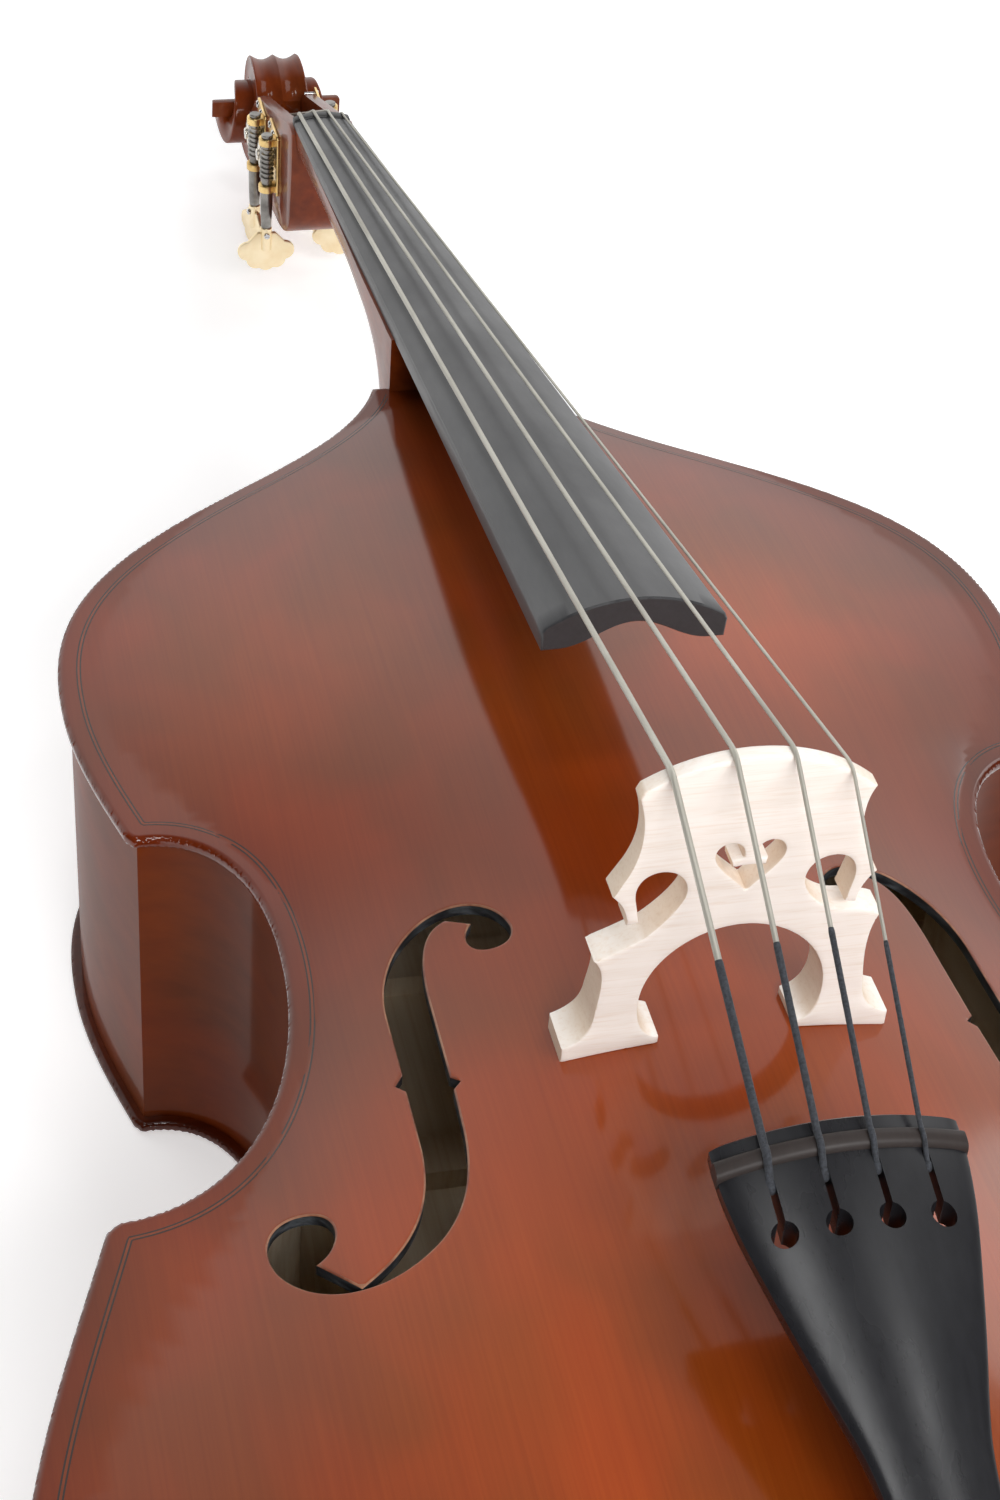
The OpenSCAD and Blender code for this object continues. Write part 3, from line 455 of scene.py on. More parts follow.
def grained(name, noise, low, high, rough=None, relief=None, **values):
    """A material of one noise, given as (scale, detail, roughness). low and high are (place, colour) on its
    colour ramp, rough is the roughness at its two ends, and relief is its bump's (strength, distance)."""
    material, tree, shader = new_material(name, **values)
    grain = object_noise(tree, *noise)
    feed(tree, shader, Base_Color=ramp(tree, grain, low, high))
    if rough:
        feed(tree, shader, Roughness=remap(tree, grain, 0.3, 0.7, *rough))
    if relief:
        bump(tree, shader, (grain, *relief))
    return material


bridge_maple = pale_maple()
inner_spruce = grained("inner_spruce", ((330, 6, 60), 4, 0.5), (0.35, (0.80, 0.65, 0.47)),
                       (0.6, (0.89, 0.76, 0.58)), (0.8, 0.6), (0.3, 0.0001), Specular_IOR_Level=0.3)
# the cut edge of a sound hole: black stain, rubbed grey in places
sound_hole_edge = grained("sound_hole_edge", ((90, 60, 300), 5, 0.7), (0.45, (0.012, 0.012, 0.014)),
                          (0.75, (0.10, 0.11, 0.12)), (0.35, 0.6))
# the thin light line on an edge round a sound hole: partly varnish rubbed off it, partly a painted highlight
# on its rounded rim
rim_wear_and_highlight = grained("worn_and_highlit_rim", ((60, 40, 60), 4, 0.7), (0.4, (0.15, 0.032, 0.010)),
                   (0.62, (0.32, 0.15, 0.08)), Roughness=0.4)
# the dyed thread wound round a string's end
string_silk = grained("string_silk", ((700, 900, 700), 3, 0.7), (0.35, (0.008, 0.009, 0.012)),
                      (0.7, (0.045, 0.050, 0.062)), None, (0.6, 0.0003), Roughness=0.8, Sheen_Weight=0.1)
tip_rubber = grained("tip_rubber", ((300, 300, 300), 4, 0.6), (0.3, (0.015, 0.015, 0.015)),
                     (0.7, (0.035, 0.035, 0.035)), (0.6, 0.8), (0.3, 0.0002), Specular_IOR_Level=0.4)
purfling_dark = ebony_like("purfling_dark", (0.02, 0.014, 0.012), (0.04, 0.026, 0.02), (0.2, 0.3))
purfling_light = varnished("purfling_light", (0.15, 0.026, 0.005), (0.20, 0.034, 0.006), (300, 8, 60), 0.2)


# ---- pieces ----

def in_scene(name, data):
    made = bpy.data.objects.new(name, data)
    bpy.context.scene.collection.objects.link(made)
    return made


def piece(name, shape, material, node=None, body="root", angle=35, more=()):
    """Makes a shown piece. node is the CAD node, or a list of them, that it stands for."""
    points, faces = shape
    mesh = bpy.data.meshes.new(name)
    mesh.from_pydata((np.asarray(points, float) / 1000).tolist(), [], [list(map(int, f)) for f in faces])
    mesh.validate()
    for m in (material, *more):
        mesh.materials.append(m)
    mesh.shade_smooth()
    mesh.set_sharp_from_angle(angle=math.radians(angle))
    made = in_scene(name, mesh)
    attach(made, body)
    if node:
        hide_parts(*([node] if isinstance(node, str) else node))
    return made


def rounded_copy(name, node):
    """A copy of an ebony CAD node with its flats merged and its edges rounded."""
    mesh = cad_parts[node].data.copy()
    mesh.name = name
    mesh.materials.clear()
    mesh.materials.append(ebony)
    work = bmesh.new()
    work.from_mesh(mesh)
    bmesh.ops.remove_doubles(work, verts=work.verts, dist=2e-6)
    bmesh.ops.dissolve_limit(work, angle_limit=math.radians(1.5), verts=work.verts, edges=work.edges)
    work.to_mesh(mesh)
    work.free()
    made = in_scene(name, mesh)
    bevel = made.modifiers.new("round", "BEVEL")
    bevel.width, bevel.segments, bevel.harden_normals = 0.8 / 1000, 2, False
    bevel.limit_method, bevel.angle_limit = "ANGLE", math.radians(30)
    made.data = bpy.data.meshes.new_from_object(made.evaluated_get(bpy.context.evaluated_depsgraph_get()))
    made.modifiers.clear()
    bpy.data.meshes.remove(mesh)
    made.data.name = name
    made.data.shade_smooth()
    made.data.set_sharp_from_angle(angle=math.radians(38))
    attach(made, "root")
    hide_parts(node)
    return made


# ---- outline of the body ----

upper_line = np.vstack([
    [(46, UPPER_LEN)],
    bezier((46, UPPER_LEN), (58, 573), (90, 541), (139, 509)),
    bezier((139, 509), (UPPER_HALF - 39, 448), (UPPER_HALF + 2, 403), (UPPER_HALF, 315)),
    bezier((UPPER_HALF, 315), (UPPER_HALF, 275), (UPPER_HALF - 12, 235), (UPPER_HALF - 21, 204)),
])
waist_line = np.vstack([
    [(UPPER_HALF - 25, 199)],
    bezier((UPPER_HALF - 25, 199), (205, 202), (WAIST_HALF, 165), (WAIST_HALF, 105)),
    bezier((WAIST_HALF, 105), (WAIST_HALF, 30), (215, -44), (LOWER_HALF - 60, -47)),
])
lower_line = np.vstack([
    [(LOWER_HALF - 54, -52)],
    bezier((LOWER_HALF - 54, -52), (LOWER_HALF - 28, -125), (LOWER_HALF, -190), (LOWER_HALF, -268)),
    bezier((LOWER_HALF, -268), (LOWER_HALF, -405), (215, -LOWER_LEN), (0, -LOWER_LEN)),
])


def closed_both_sides(right):
    """The whole anticlockwise outline from its right half, which runs from the top to the bottom."""
    right = np.asarray(right, float)
    left = right[::-1] * [-1, 1]
    both = np.vstack([right[::-1], left[::-1]])
    keep = np.linalg.norm(both - np.roll(both, 1, axis=0), axis=1) > 0.05
    return both[keep]


plate_loop = closed_both_sides(np.vstack([[(0, UPPER_LEN)], upper_line, waist_line, lower_line]))


RUN_ON = 25  # how far a line is run on past its ends, so that its neighbour crosses it


def side_offset(line, d):
    """A line of the right half moved d inwards, with its ends run on straight."""
    t = np.gradient(line, axis=0)
    n = np.column_stack([t[:, 1], -t[:, 0]]) / np.linalg.norm(t, axis=1)[:, None]
    out = line + n * d
    before, after = out[0] + unit(out[0] - out[1]) * RUN_ON, out[-1] + unit(out[-1] - out[-2]) * RUN_ON
    return np.vstack([before, out, after])


def crossing(a, b):
    """Where line a first meets line b: index in a, index in b, point."""
    for i in range(len(a) - 1, 0, -1):
        p, r = a[i - 1], a[i] - a[i - 1]
        for j in range(len(b) - 1):
            q, s = b[j], b[j + 1] - b[j]
            det = r[0] * s[1] - r[1] * s[0]
            if abs(det) < 1e-12:
                continue
            t = ((q[0] - p[0]) * s[1] - (q[1] - p[1]) * s[0]) / det
            u = ((q[0] - p[0]) * r[1] - (q[1] - p[1]) * r[0]) / det
            if 0 <= t <= 1 and 0 <= u <= 1:
                return i, j, p + r * t
    raise ValueError("these lines don't meet")


def mitred(d):
    """The right half's three lines moved d inwards and cut to each other at the corners."""
    up, mid, low = (side_offset(line, d) for line in (upper_line, waist_line, lower_line))
    i, j, p = crossing(up, mid)
    up, mid = np.vstack([up[1:i], [p]]), np.vstack([[p], mid[j + 1:]])
    i, j, q = crossing(mid, low)
    mid, low = np.vstack([mid[:i], [q]]), np.vstack([[q], low[j + 1:-1]])
    low = low[low[:, 0] > 0]
    return up, mid, np.vstack([low, [(0, low[-1, 1])]])


# ---- arch of the belly ----

def ease(s):
    return (1 - np.cos(math.pi * s)) / 2


UPPER_Y, WAIST_Y, LOWER_Y, CROWN_Y = 315, 105, -265, 20  # where the arch is widest, narrowest and highest
ARCH_UPPER, ARCH_LOWER = UPPER_HALF - 6, LOWER_HALF - 4


def arch_half(y):
    """Half the width over which the belly is arched."""
    y = np.asarray(y, float)
    far = ARCH_UPPER * np.maximum(1 - ((y - UPPER_Y) / (UPPER_LEN - UPPER_Y)) ** 2, 0) ** 0.9
    waist = WAIST_HALF + (ARCH_UPPER - WAIST_HALF) * ease((y - WAIST_Y) / (UPPER_Y - WAIST_Y))
    near = ARCH_LOWER - (ARCH_LOWER - WAIST_HALF) * ease((y - LOWER_Y) / (WAIST_Y - LOWER_Y))
    end = ARCH_LOWER * np.maximum(1 - ((y - LOWER_Y) / (LOWER_LEN + LOWER_Y)) ** 2, 0) ** 0.45
    return np.where(y > UPPER_Y, far, np.where(y > WAIST_Y, waist, np.where(y > LOWER_Y, near, end)))


def arch(x, y):
    """Height of the arch above the belly's edge."""
    s = np.minimum(np.abs(y - CROWN_Y) / np.where(y > CROWN_Y, UPPER_LEN - CROWN_Y, LOWER_LEN + CROWN_Y), 1)
    t = np.minimum(np.abs(x) / np.maximum(arch_half(y) - 14, 1), 1)
    return ARCH_H * ((1 + np.cos(math.pi * s)) / 2) ** 0.5 * ((1 + np.cos(math.pi * t)) / 2) ** 0.55


def roll(d, radius):
    """Drop of a rounded edge at distance d from it, and how fast the drop changes with d."""
    k = np.clip(radius - d, 0, radius * 0.999)
    level = np.sqrt(radius ** 2 - k ** 2)
    return radius - level, -k / level


EDGE_RINGS = (0.45, 1.2, 2.2, 3.4, 5, 7, 9.5, 12, 15, 19, 24)
HOLE_RINGS = (0.8, 2.2, 5)


def grid_points(outer, holes, edge_loop, step):
    """Points inside an outline: rings that follow its edge, rings round its holes, then a grid."""
    dense = resample(edge_loop, 4, closed=True)
    groups = []
    for d in EDGE_RINGS:
        p = dense + normals_2d(dense) * d
        groups.append(p[distance(p, edge_loop) > d - 0.12])
    for hole in holes:
        for d in HOLE_RINGS:
            p = hole - normals_2d(hole) * d
            groups.append(p[distance(p, hole) > d - 0.1])
    lo, hi = outer.min(0), outer.max(0)
    xs, ys = np.arange(lo[0], hi[0], step), np.arange(lo[1], hi[1], step)
    mesh = np.array(np.meshgrid(xs, ys)).reshape(2, -1).T
    mesh = mesh[inside(mesh, outer)]
    mesh = mesh[distance(mesh, edge_loop) > EDGE_RINGS[-1] + step * 0.5]
    for hole in holes:
        mesh = mesh[distance(mesh, hole) > 7]
    points = np.vstack([*groups, mesh])
    points = points[inside(points, outer)]
    points = points[distance(points, outer) > 0.3]
    for hole in holes:
        points = points[~inside(points, hole)]
    return points


def plate_piece(name, outer, holes, edge_loop, high, low, step, material, node, inner, edges=(3.0, 2.0),
                more=()):
    """A carved plate: rounded outer edge, thin rounded rims at its holes, and normals from its own surface.
    more[inner[1]] is the bare wood on its inner side, which is "high" or "low"."""
    extra = grid_points(outer, holes, edge_loop, step)
    flat, triangles = triangulated(outer, holes, extra)

    x, y = flat.T
    feet = [nearest(flat, loop) for loop in (edge_loop, *holes)]
    gaps = [np.linalg.norm(flat - q, axis=1) for q in feet]
    d, hole_d = gaps[0], np.min([*gaps[1:], np.full(len(flat), 99.0)], axis=0)

    def surface(side):
        """Heights and normals of the upper (1) or the lower (-1) face."""
        face, h = (high, low)[side < 0], 0.25
        z = face(x, y)
        slope = np.column_stack([face(x + h, y) - face(x - h, y), face(x, y + h) - face(x, y - h)]) / (2 * h)
        radii = [(edges[side < 0], 1.0)] + [(0.9, 0.8)] * len(holes)
        for q, gap, (radius, share) in zip(feet, gaps, radii):
            drop, rate = roll(gap, radius)
            z = z - side * share * drop
            slope -= side * share * rate[:, None] * (flat - q) / np.maximum(gap, 1e-6)[:, None]
        n = np.column_stack([-slope, np.ones(len(flat))]) * side
        return z, n / np.linalg.norm(n, axis=1)[:, None]

    (up, n_up), (down, n_down) = surface(1), surface(-1)
    points, faces, walls = two_sided(triangles, np.column_stack([flat, up]), np.column_stack([flat, down]))
    made = piece(name, (points, faces + walls), material, node, more=more)
    mesh = made.data
    attribute = mesh.attributes.new("edge_distance", "FLOAT", "POINT")
    attribute.data.foreach_set("value", np.tile(np.minimum(d, 200), 2).astype(np.float32))
    index = np.zeros(len(mesh.polygons), int)
    bare = np.where((d[triangles] > OVERHANG + 1).all(1), inner[1], 0)
    if inner[0] == "high":
        index[:len(triangles)] = bare
    else:
        index[len(triangles):2 * len(triangles)] = bare
    # the belly's faces on a sound hole's rim take the light rim material: partly rubbed varnish, partly a
    # painted highlight
    if holes:
        near = hole_d < 0.95
        index[:len(triangles)] = np.where(near[triangles].all(1), 2, 0)
        wall_hole = [hole_d[w[0]] < 0.05 for w in walls]
        index[2 * len(triangles):] = np.where(wall_hole, 1, 0)
    mesh.polygons.foreach_set("material_index", index.astype(np.int32))
    custom = np.zeros((len(mesh.loops), 3))
    corner = np.empty(len(mesh.loops), int)
    mesh.loops.foreach_get("vertex_index", corner)
    count = len(triangles) * 3
    smooth = np.minimum(d, hole_d) > 0.2
    top_corners, low_corners = corner[:count], corner[count:2 * count] - len(flat)
    custom[:count] = np.where(smooth[top_corners][:, None], n_up[top_corners], 0)
    custom[count:2 * count] = np.where(smooth[low_corners][:, None], n_down[low_corners], 0)
    mesh.normals_split_custom_set(custom.tolist())
    return made


# ---- belly, purfling, back and ribs ----

def notched():
    """The belly's outline with its openings for the neck and the saddle."""
    neck = [(NECK_NOTCH, UPPER_LEN), (NECK_NOTCH, HEEL_Y), (0, HEEL_Y)]
    right = np.vstack([neck[::-1], upper_line, waist_line, lower_line])
    low = right[right[:, 1] < 0]
    keep = np.vstack([right[right[:, 1] >= 0], low[low[:, 0] > SADDLE_HALF]])
    seat_y = -LOWER_LEN + SADDLE_DEPTH
    foot = [(SADDLE_HALF, -LOWER_LEN + 0.8), (SADDLE_HALF, seat_y), (0, seat_y)]
    return closed_both_sides(np.vstack([keep, foot]))


sound_hole = np.vstack([
    bezier((78, 83), (80, 98), (92, 108), (106, 106), 2),
    bezier((106, 106), (126, 103), (144, 80), (144, 45), 2.5),
    [(144.6, 7)], [(149, 1)], [(145, -4)],
    bezier((145.6, -40), (147, -78), (160, -97), (185, -112), 2.5),
    [(201, -93)],
    bezier((201, -93), (187, -86), (185, -63), (204, -63), 2),
    bezier((204, -63), (222, -63), (226, -90), (208, -105), 2),
    bezier((208, -105), (192, -118), (168, -114), (148, -96), 2.5),
    bezier((148, -96), (132, -80), (127, -58), (126, -32), 2.5),
    [(125, -11)], [(121, -7)], [(125, -3)],
    bezier((124, 38), (124, 75), (120, 96), (106, 99), 2.5),
    [(95, 92)],
    bezier((95, 92), (104, 82), (98, 71), (88, 72), 2),
    bezier((88, 72), (82, 72), (78, 76), (78, 83), 2),
])
right_hole = refine(anticlockwise(sound_hole), 3.0)
left_hole = (right_hole * [-1, 1])[::-1]


def belly_high(x, y):
    """The belly's outer face."""
    return TOP_Z + arch(x, y)


def belly_low(x, y):
    return RIB_TOP + arch(x, y)


plate_piece("belly", refine(notched(), 3.5), [right_hole, left_hole], plate_loop, belly_high, belly_low, 9,
            belly_varnish, "top_plate", ("low", 3),
            more=(sound_hole_edge, rim_wear_and_highlight, inner_spruce))


def back_low(x, y):
    return np.maximum(0, FOLD_RISE * (y - FOLD_Y) / (UPPER_LEN - FOLD_Y))


def back_inside(y):
    """Height of the back's inner face above its fold."""
    return PLATE_T + FOLD_RISE * (y - FOLD_Y) / (UPPER_LEN - FOLD_Y)


BUTTON_R = 24
button = [(BUTTON_R * math.cos(a), UPPER_LEN + BUTTON_R * math.sin(a))
          for a in np.radians(np.arange(90, -1, -6))]
back_loop = closed_both_sides(np.vstack([button, upper_line, waist_line, lower_line]))
plate_piece("back", refine(back_loop, 4), [], back_loop, lambda x, y: back_low(x, y) + PLATE_T, back_low, 14,
            back_varnish, "back_plate", ("high", 1), edges=(2.6, 2.6), more=(inner_spruce,))

PURFLING_IN, PURFLING_DEPTH = 10, 1.2
PURFLING_STEPS = (0, 0.75, 1.85, 2.6)


def closest(line, p):
    """The point of a line nearest to p."""
    a, d = line[:-1], np.diff(line, axis=0)
    t = np.clip(((p - a) * d).sum(1) / np.maximum((d * d).sum(1), 1e-9), 0, 1)[:, None]
    q = a + t * d
    return q[np.argmin(((q - p) ** 2).sum(1))]


def purfling_z(x, y):
    return float(belly_high(np.float64(x), np.float64(y))) + 0.05


def band(k):
    """A strip of the purfling, both sides of the body, cut off at the neck and the saddle."""
    lines = []
    for step in PURFLING_STEPS[k:k + 2]:
        line = np.vstack(mitred(PURFLING_IN + step))
        x, y = line.T
        lines.append(line[~((y > UPPER_LEN - 26) & (x < NECK_NOTCH + 2))
                          & ~((y < -LOWER_LEN + 40) & (x < SADDLE_HALF + 2))])
    rings = []
    for a in resample(lines[0], 2.5):
        b = closest(lines[1], a)
        za, zb = purfling_z(*a), purfling_z(*b)
        rings.append(np.array([[*a, za], [*b, zb], [*b, zb - PURFLING_DEPTH], [*a, za - PURFLING_DEPTH]]))
    right = loft(rings)
    return join(right, mirrored(right))


piece("purfling", join(band(0), band(2)), purfling_dark, "top_purfling")
piece("purfling_core", band(1), purfling_light)


RIB_STEPS, MORTISE_HALF = 9, 20


def rib_body(outer, inner):
    """One bent rib between two lines in plan, from the back up to the belly."""
    rings = []
    for a in outer:
        b = closest(inner, a)
        floor = [PLATE_T + max(0, FOLD_RISE * (p[1] - FOLD_Y) / (UPPER_LEN - FOLD_Y)) for p in (a, b)]
        steps = np.linspace(0, 1, RIB_STEPS)
        out_side = [[a[0], a[1], floor[0] + (RIB_TOP - floor[0]) * t] for t in steps]
        in_side = [[b[0], b[1], floor[1] + (RIB_TOP - floor[1]) * t] for t in steps[::-1]]
        rings.append(np.array(out_side + in_side, float))
    return loft(rings)


def behind_heel(line, end):
    """The upper rib's line, carried in behind the heel to the tenon."""
    line = line[(line[:, 0] > 37) & (line[:, 1] < end - 0.2)]
    return np.vstack([(MORTISE_HALF + 0.2, end), (line[0, 0] - 0.2, end), line])


rib_gaps = OVERHANG, OVERHANG + RIB_T
for name, *lines in zip(("upper", "waist", "lower"), *(mitred(gap) for gap in rib_gaps)):
    if name == "upper":
        lines = [behind_heel(line, UPPER_LEN - gap) for line, gap in zip(lines, rib_gaps)]
    if name == "lower":
        lines = [np.vstack([line[line[:, 0] > 0.5], (0.03, gap - LOWER_LEN)])
                 for line, gap in zip(lines, rib_gaps)]
    shape = rib_body(resample(lines[0], 5), lines[1])
    for side, body in (("right", shape), ("left", mirrored(shape))):
        rib = piece(f"rib_{name}_{side}_shown", body, rib_varnish, f"rib_{name}_{side}",
                    more=(inner_spruce,))
        place = np.arange(len(body[1]) - 2) % (2 * RIB_STEPS)
        index = np.zeros(len(body[1]), np.int32)
        index[:-2] = (place >= RIB_STEPS) & (place < 2 * RIB_STEPS - 1)
        rib.data.polygons.foreach_set("material_index", index)

# ---- solids put together and cut ----

def combined(base, tools, operation):
    """The base shape joined with or cut by the tools, each a closed shape, one after the other."""
    def temporary(shape):
        mesh = bpy.data.meshes.new("work")
        mesh.from_pydata(np.asarray(shape[0], float).tolist(), [], [list(map(int, f)) for f in shape[1]])
        return in_scene("work", mesh)

    body = temporary(base)
    for tool in tools:
        other = temporary(tool)
        modifier = body.modifiers.new("cut", "BOOLEAN")
        modifier.operation, modifier.solver, modifier.object = operation, "EXACT", other
        mesh = bpy.data.meshes.new_from_object(body.evaluated_get(bpy.context.evaluated_depsgraph_get()))
        body.modifiers.clear()
        body.data = mesh
        bpy.data.objects.remove(other)
        if not len(mesh.vertices):
            raise ValueError("nothing is left of this shape")
    mesh = body.data
    points = np.array([v.co for v in mesh.vertices], float)
    faces = [list(p.vertices) for p in mesh.polygons]
    bpy.data.objects.remove(body)
    return points, faces


def smoothed(knots, step):
    """A smooth line through the knots, which are rows of numbers. The first column grows, by about step."""
    k = np.asarray(knots, float)
    k = np.vstack([2 * k[0] - k[1], k, 2 * k[-1] - k[-2]])
    out = []
    for a, b, c, d in zip(k, k[1:], k[2:], k[3:]):
        n = max(1, int(round((c[0] - b[0]) / step)))
        for t in np.arange(n) / n:
            out.append(0.5 * (2 * b + (c - a) * t + (2 * a - 5 * b + 4 * c - d) * t ** 2
                              + (3 * b - a - 3 * c + d) * t ** 3))
    return np.array(out + [k[-2]])


def arc(centre, radius, start, end, n):
    """Points of a circle's arc, angles in degrees."""
    a = np.radians(np.linspace(start, end, n))
    return np.column_stack([centre[0] + radius * np.cos(a), centre[1] + radius * np.sin(a)])


# ---- neck, pegbox and scroll ----

def seat(y):
    """Height of the fingerboard's underside."""
    return TOP_Z + 111.5 - 0.1775 * (y - 180)


# place along the neck, half-width, share of the way down to the back, and how square the section is
HEEL_SECTIONS = [
    (HEEL_Y, 36, 1, 0.45), (612, 36, 1, 0.45), (624, 35.5, 0.96, 0.45), (630, 35.2, 0.76, 0.55),
    (638, 35, 0.54, 0.62), (650, 34.6, 0.34, 0.62), (666, 34.2, 0.18, 0.62), (688, 33.6, 0.07, 0.62),
    (720, 32.6, 0, 0.65), (800, 29.4, 0, 0.85), (880, 26.4, 0, 0.85), (960, 23.8, 0, 0.85),
    (1020, 22, 0, 0.85), (1046, 21.6, 0, 0.85),
]


def neck_shaft():
    rings = []
    for y, w, share, power in smoothed(HEEL_SECTIONS, 5):
        depth = 40 - 7 * (y - 600) / 450
        full = seat(y) - back_inside(y) - 0.2
        depth += (full - depth) * min(max(share, 0), 1)
        a = np.linspace(0, math.pi, 37)
        c, s = np.cos(a), np.abs(np.sin(a))
        rings.append(np.column_stack([w * np.sign(c) * np.abs(c) ** power, np.full(len(a), y),
                                      seat(y) - depth * s ** power]))
    return loft(rings)


NAPE = (SCROLL_Y - 14, SCROLL_Z - 48)
pegbox_side = np.vstack([
    [(1040, TOP_Z - 75), (1040, TOP_Z - 44), (NUT_Y, seat(NUT_Y)), (NUT_Y + 8, seat(NUT_Y))],
    [(1214, TOP_Z - 96), (SCROLL_Y - 14, SCROLL_Z + 10), NAPE],
    bezier(NAPE, (1222, SCROLL_Z - 48), (1160, TOP_Z - 156), (1103, TOP_Z - 151), 4),
    bezier((1103, TOP_Z - 151), (1075, TOP_Z - 145), (1048, TOP_Z - 138), (1046, TOP_Z - 112), 4),
])
pegbox_slot = np.array([(1062, TOP_Z), (1062, TOP_Z - 60), (1070, TOP_Z - 118), (1108, TOP_Z - 136),
                        (1224, TOP_Z - 146), (1228, TOP_Z - 108), (1222, TOP_Z)])

# turns of the scroll, its radius and its half-width
SCROLL_TURNS = [
    (0, 50, 19), (0.25, 50, 19.5), (0.5, 49.6, 20), (0.65, 48, 21), (0.8, 44.6, 22), (1, 40, 24),
    (1.25, 34.5, 28.5), (1.5, 30, 33), (1.75, 25.6, 38.5), (2, 21.6, 44), (2.25, 18, 49), (2.5, 14.6, 53),
    (2.6, 13.8, 54),
]
SCROLL_START = -120  # degrees from the +Y direction, seen from the treble side
FLUTE = 3.6


def scroll_at(turn):
    table = np.array(SCROLL_TURNS)
    return np.interp(turn, table[:, 0], table[:, 1]), np.interp(turn, table[:, 0], table[:, 2])


def scroll_half():
    """One side of the volute as a ribbon that climbs towards its eye; the other side is its mirror image."""
    last, per_turn = SCROLL_TURNS[-1][0], 72
    rows = []
    for i in range(int(last * per_turn) + 1):
        n = i / per_turn
        a = math.radians(SCROLL_START + 360 * n)
        r, w = scroll_at(n)
        inner_r = scroll_at(min(n + 1, last))[0] if n + 1 <= last else 0.3
        start = scroll_at(n - 1)[1] if n >= 1 else 0
        span = np.linspace(0, 1, 13)
        if n < 1:
            fade = min(1, (1.05 - n) / 0.12)
            line = [(start + (w - 1.2 - start) * s, r - fade * FLUTE * math.sin(math.pi * s)) for s in span]
        else:
            line = [(start + (w - 1.2 - start) * s, r) for s in span]
        line += [(w - 0.35, r - 0.35), (w, r - 1.2)]
        dip = 1.3 if n + 1 <= last else 0
        line += [(w - dip * math.sin(math.pi * s), r - 1.2 + (inner_r - r + 1.2) * s)
                 for s in np.linspace(0, 1, 7)[1:]]
        rows.append([(x, SCROLL_Y + q * math.cos(a), SCROLL_Z + q * math.sin(a)) for x, q in line])
    return rows


def scroll_body():
    rows = scroll_half()
    n = len(rows[0])
    points = np.array(rows).reshape(-1, 3)
    faces = [[i * n + j, i * n + j + 1, (i + 1) * n + j + 1, (i + 1) * n + j]
             for i in range(len(rows) - 1) for j in range(n - 1)]
    last = (len(rows) - 1) * n
    left = points * [-1, 1, 1]
    count = len(points)
    faces += [[count + k for k in reversed(f)] for f in faces]
    faces.append([*range(n), *(count + k for k in range(n - 1, -1, -1))])
    faces.append([last + k for k in range(12, n)][::-1])
    faces.append([count + last + k for k in range(12, n)])
    mesh = bpy.data.meshes.new("work")
    mesh.from_pydata(np.vstack([points, left]).tolist(), [], faces)
    work = bmesh.new()
    work.from_mesh(mesh)
    bmesh.ops.remove_doubles(work, verts=work.verts, dist=0.12)
    bmesh.ops.holes_fill(work, edges=[e for e in work.edges if e.is_boundary], sides=0)
    bmesh.ops.recalc_face_normals(work, faces=work.faces)
    work.to_mesh(mesh)
    work.free()
    out = np.array([v.co for v in mesh.vertices], float), [list(p.vertices) for p in mesh.polygons]
    bpy.data.meshes.remove(mesh)
    return out


def box_shape(low, high):
    x0, y0, z0 = low
    x1, y1, z1 = high
    ring = [(x0, y0), (x1, y0), (x1, y1), (x0, y1)]
    return loft([[(x, y, z) for x, y in ring] for z in (z0, z1)])


pegbox = slab(anticlockwise(refine(pegbox_side, 8)), -PEGBOX_HALF, PEGBOX_HALF, 1.2, across_x)
slot = slab(anticlockwise(refine(pegbox_slot, 12)), -SLOT_HALF, SLOT_HALF, 0.5, across_x)
post_holes = [lathe([(5.05, -60), (5.05, 60)], (0, y, z), (1, 0, 0), 32) for _, y, z in MACHINES.values()]
tenon = box_shape((-20, HEEL_Y - 16, 80), (20, HEEL_Y + 4, RIB_TOP))
pegbox = combined(pegbox, [slot, *post_holes], "DIFFERENCE")
neck = combined(neck_shaft(), [pegbox, tenon, scroll_body()], "UNION")
piece("neck_carved", neck, neck_varnish, "neck", angle=32)

# ---- fingerboard and nut ----

def board_half(y):
    return BOARD_W0 + (BOARD_W1 - BOARD_W0) * (y - 180) / (NUT_Y - 180)


def board_top(x, y):
    r = 81 - 12 * (y - 180) / (NUT_Y - 180)
    return TOP_Z + 139 - 0.2 * (y - 180) - r + np.sqrt(r * r - x * x)


def board_ring(y, shrink=0.0):
    """A section of the fingerboard: arched top, short sides, flat lips and a hollow between them."""
    w = board_half(y) - shrink
    hollow = float(np.clip(13 * (560 - y) / 160, 0, 13))
    hollow = hollow * (3 - 2 * hollow / 13) * hollow / 13
    x = w * np.sin(np.linspace(-math.pi / 2, math.pi / 2, 41)) * 0.985
    top = [(v, y, board_top(v, y) - shrink - (1.0 if abs(v) > w * 0.98 else 0)) for v in x]
    side = [(w, y, board_top(w, y) - 2.2)]
    low_x = np.linspace(w * 0.985, -w * 0.985, 41)
    low = [(v, y, seat(y) + shrink + hollow * (1 + math.cos(math.pi * min(abs(v) / (0.82 * w), 1))) / 2)
           for v in low_x]
    other = [(-w, y, board_top(w, y) - 2.2)]
    return top + side + low + other


board_lines = [BOARD_END, *np.arange(BOARD_END + 1.2, NUT_Y, 14), NUT_Y]
board = loft([board_ring(y, 1.0 if i == 0 else 0) for i, y in enumerate(board_lines)])
piece("fingerboard_shaped", board, fingerboard_ebony, "fingerboard", angle=40)
rounded_copy("nut_rounded", "nut")

# ---- bridge ----

FOOT_IN, FOOT_OUT, FOOT_HALF = 32, 77, 12
BRIDGE_TOP_R, BRIDGE_TOP_C = 84, (-4.7, 108.5)
BASS_KNEE_DROP = 11


def bridge_top(x):
    return BRIDGE_TOP_C[1] + math.sqrt(BRIDGE_TOP_R ** 2 - (x - BRIDGE_TOP_C[0]) ** 2)


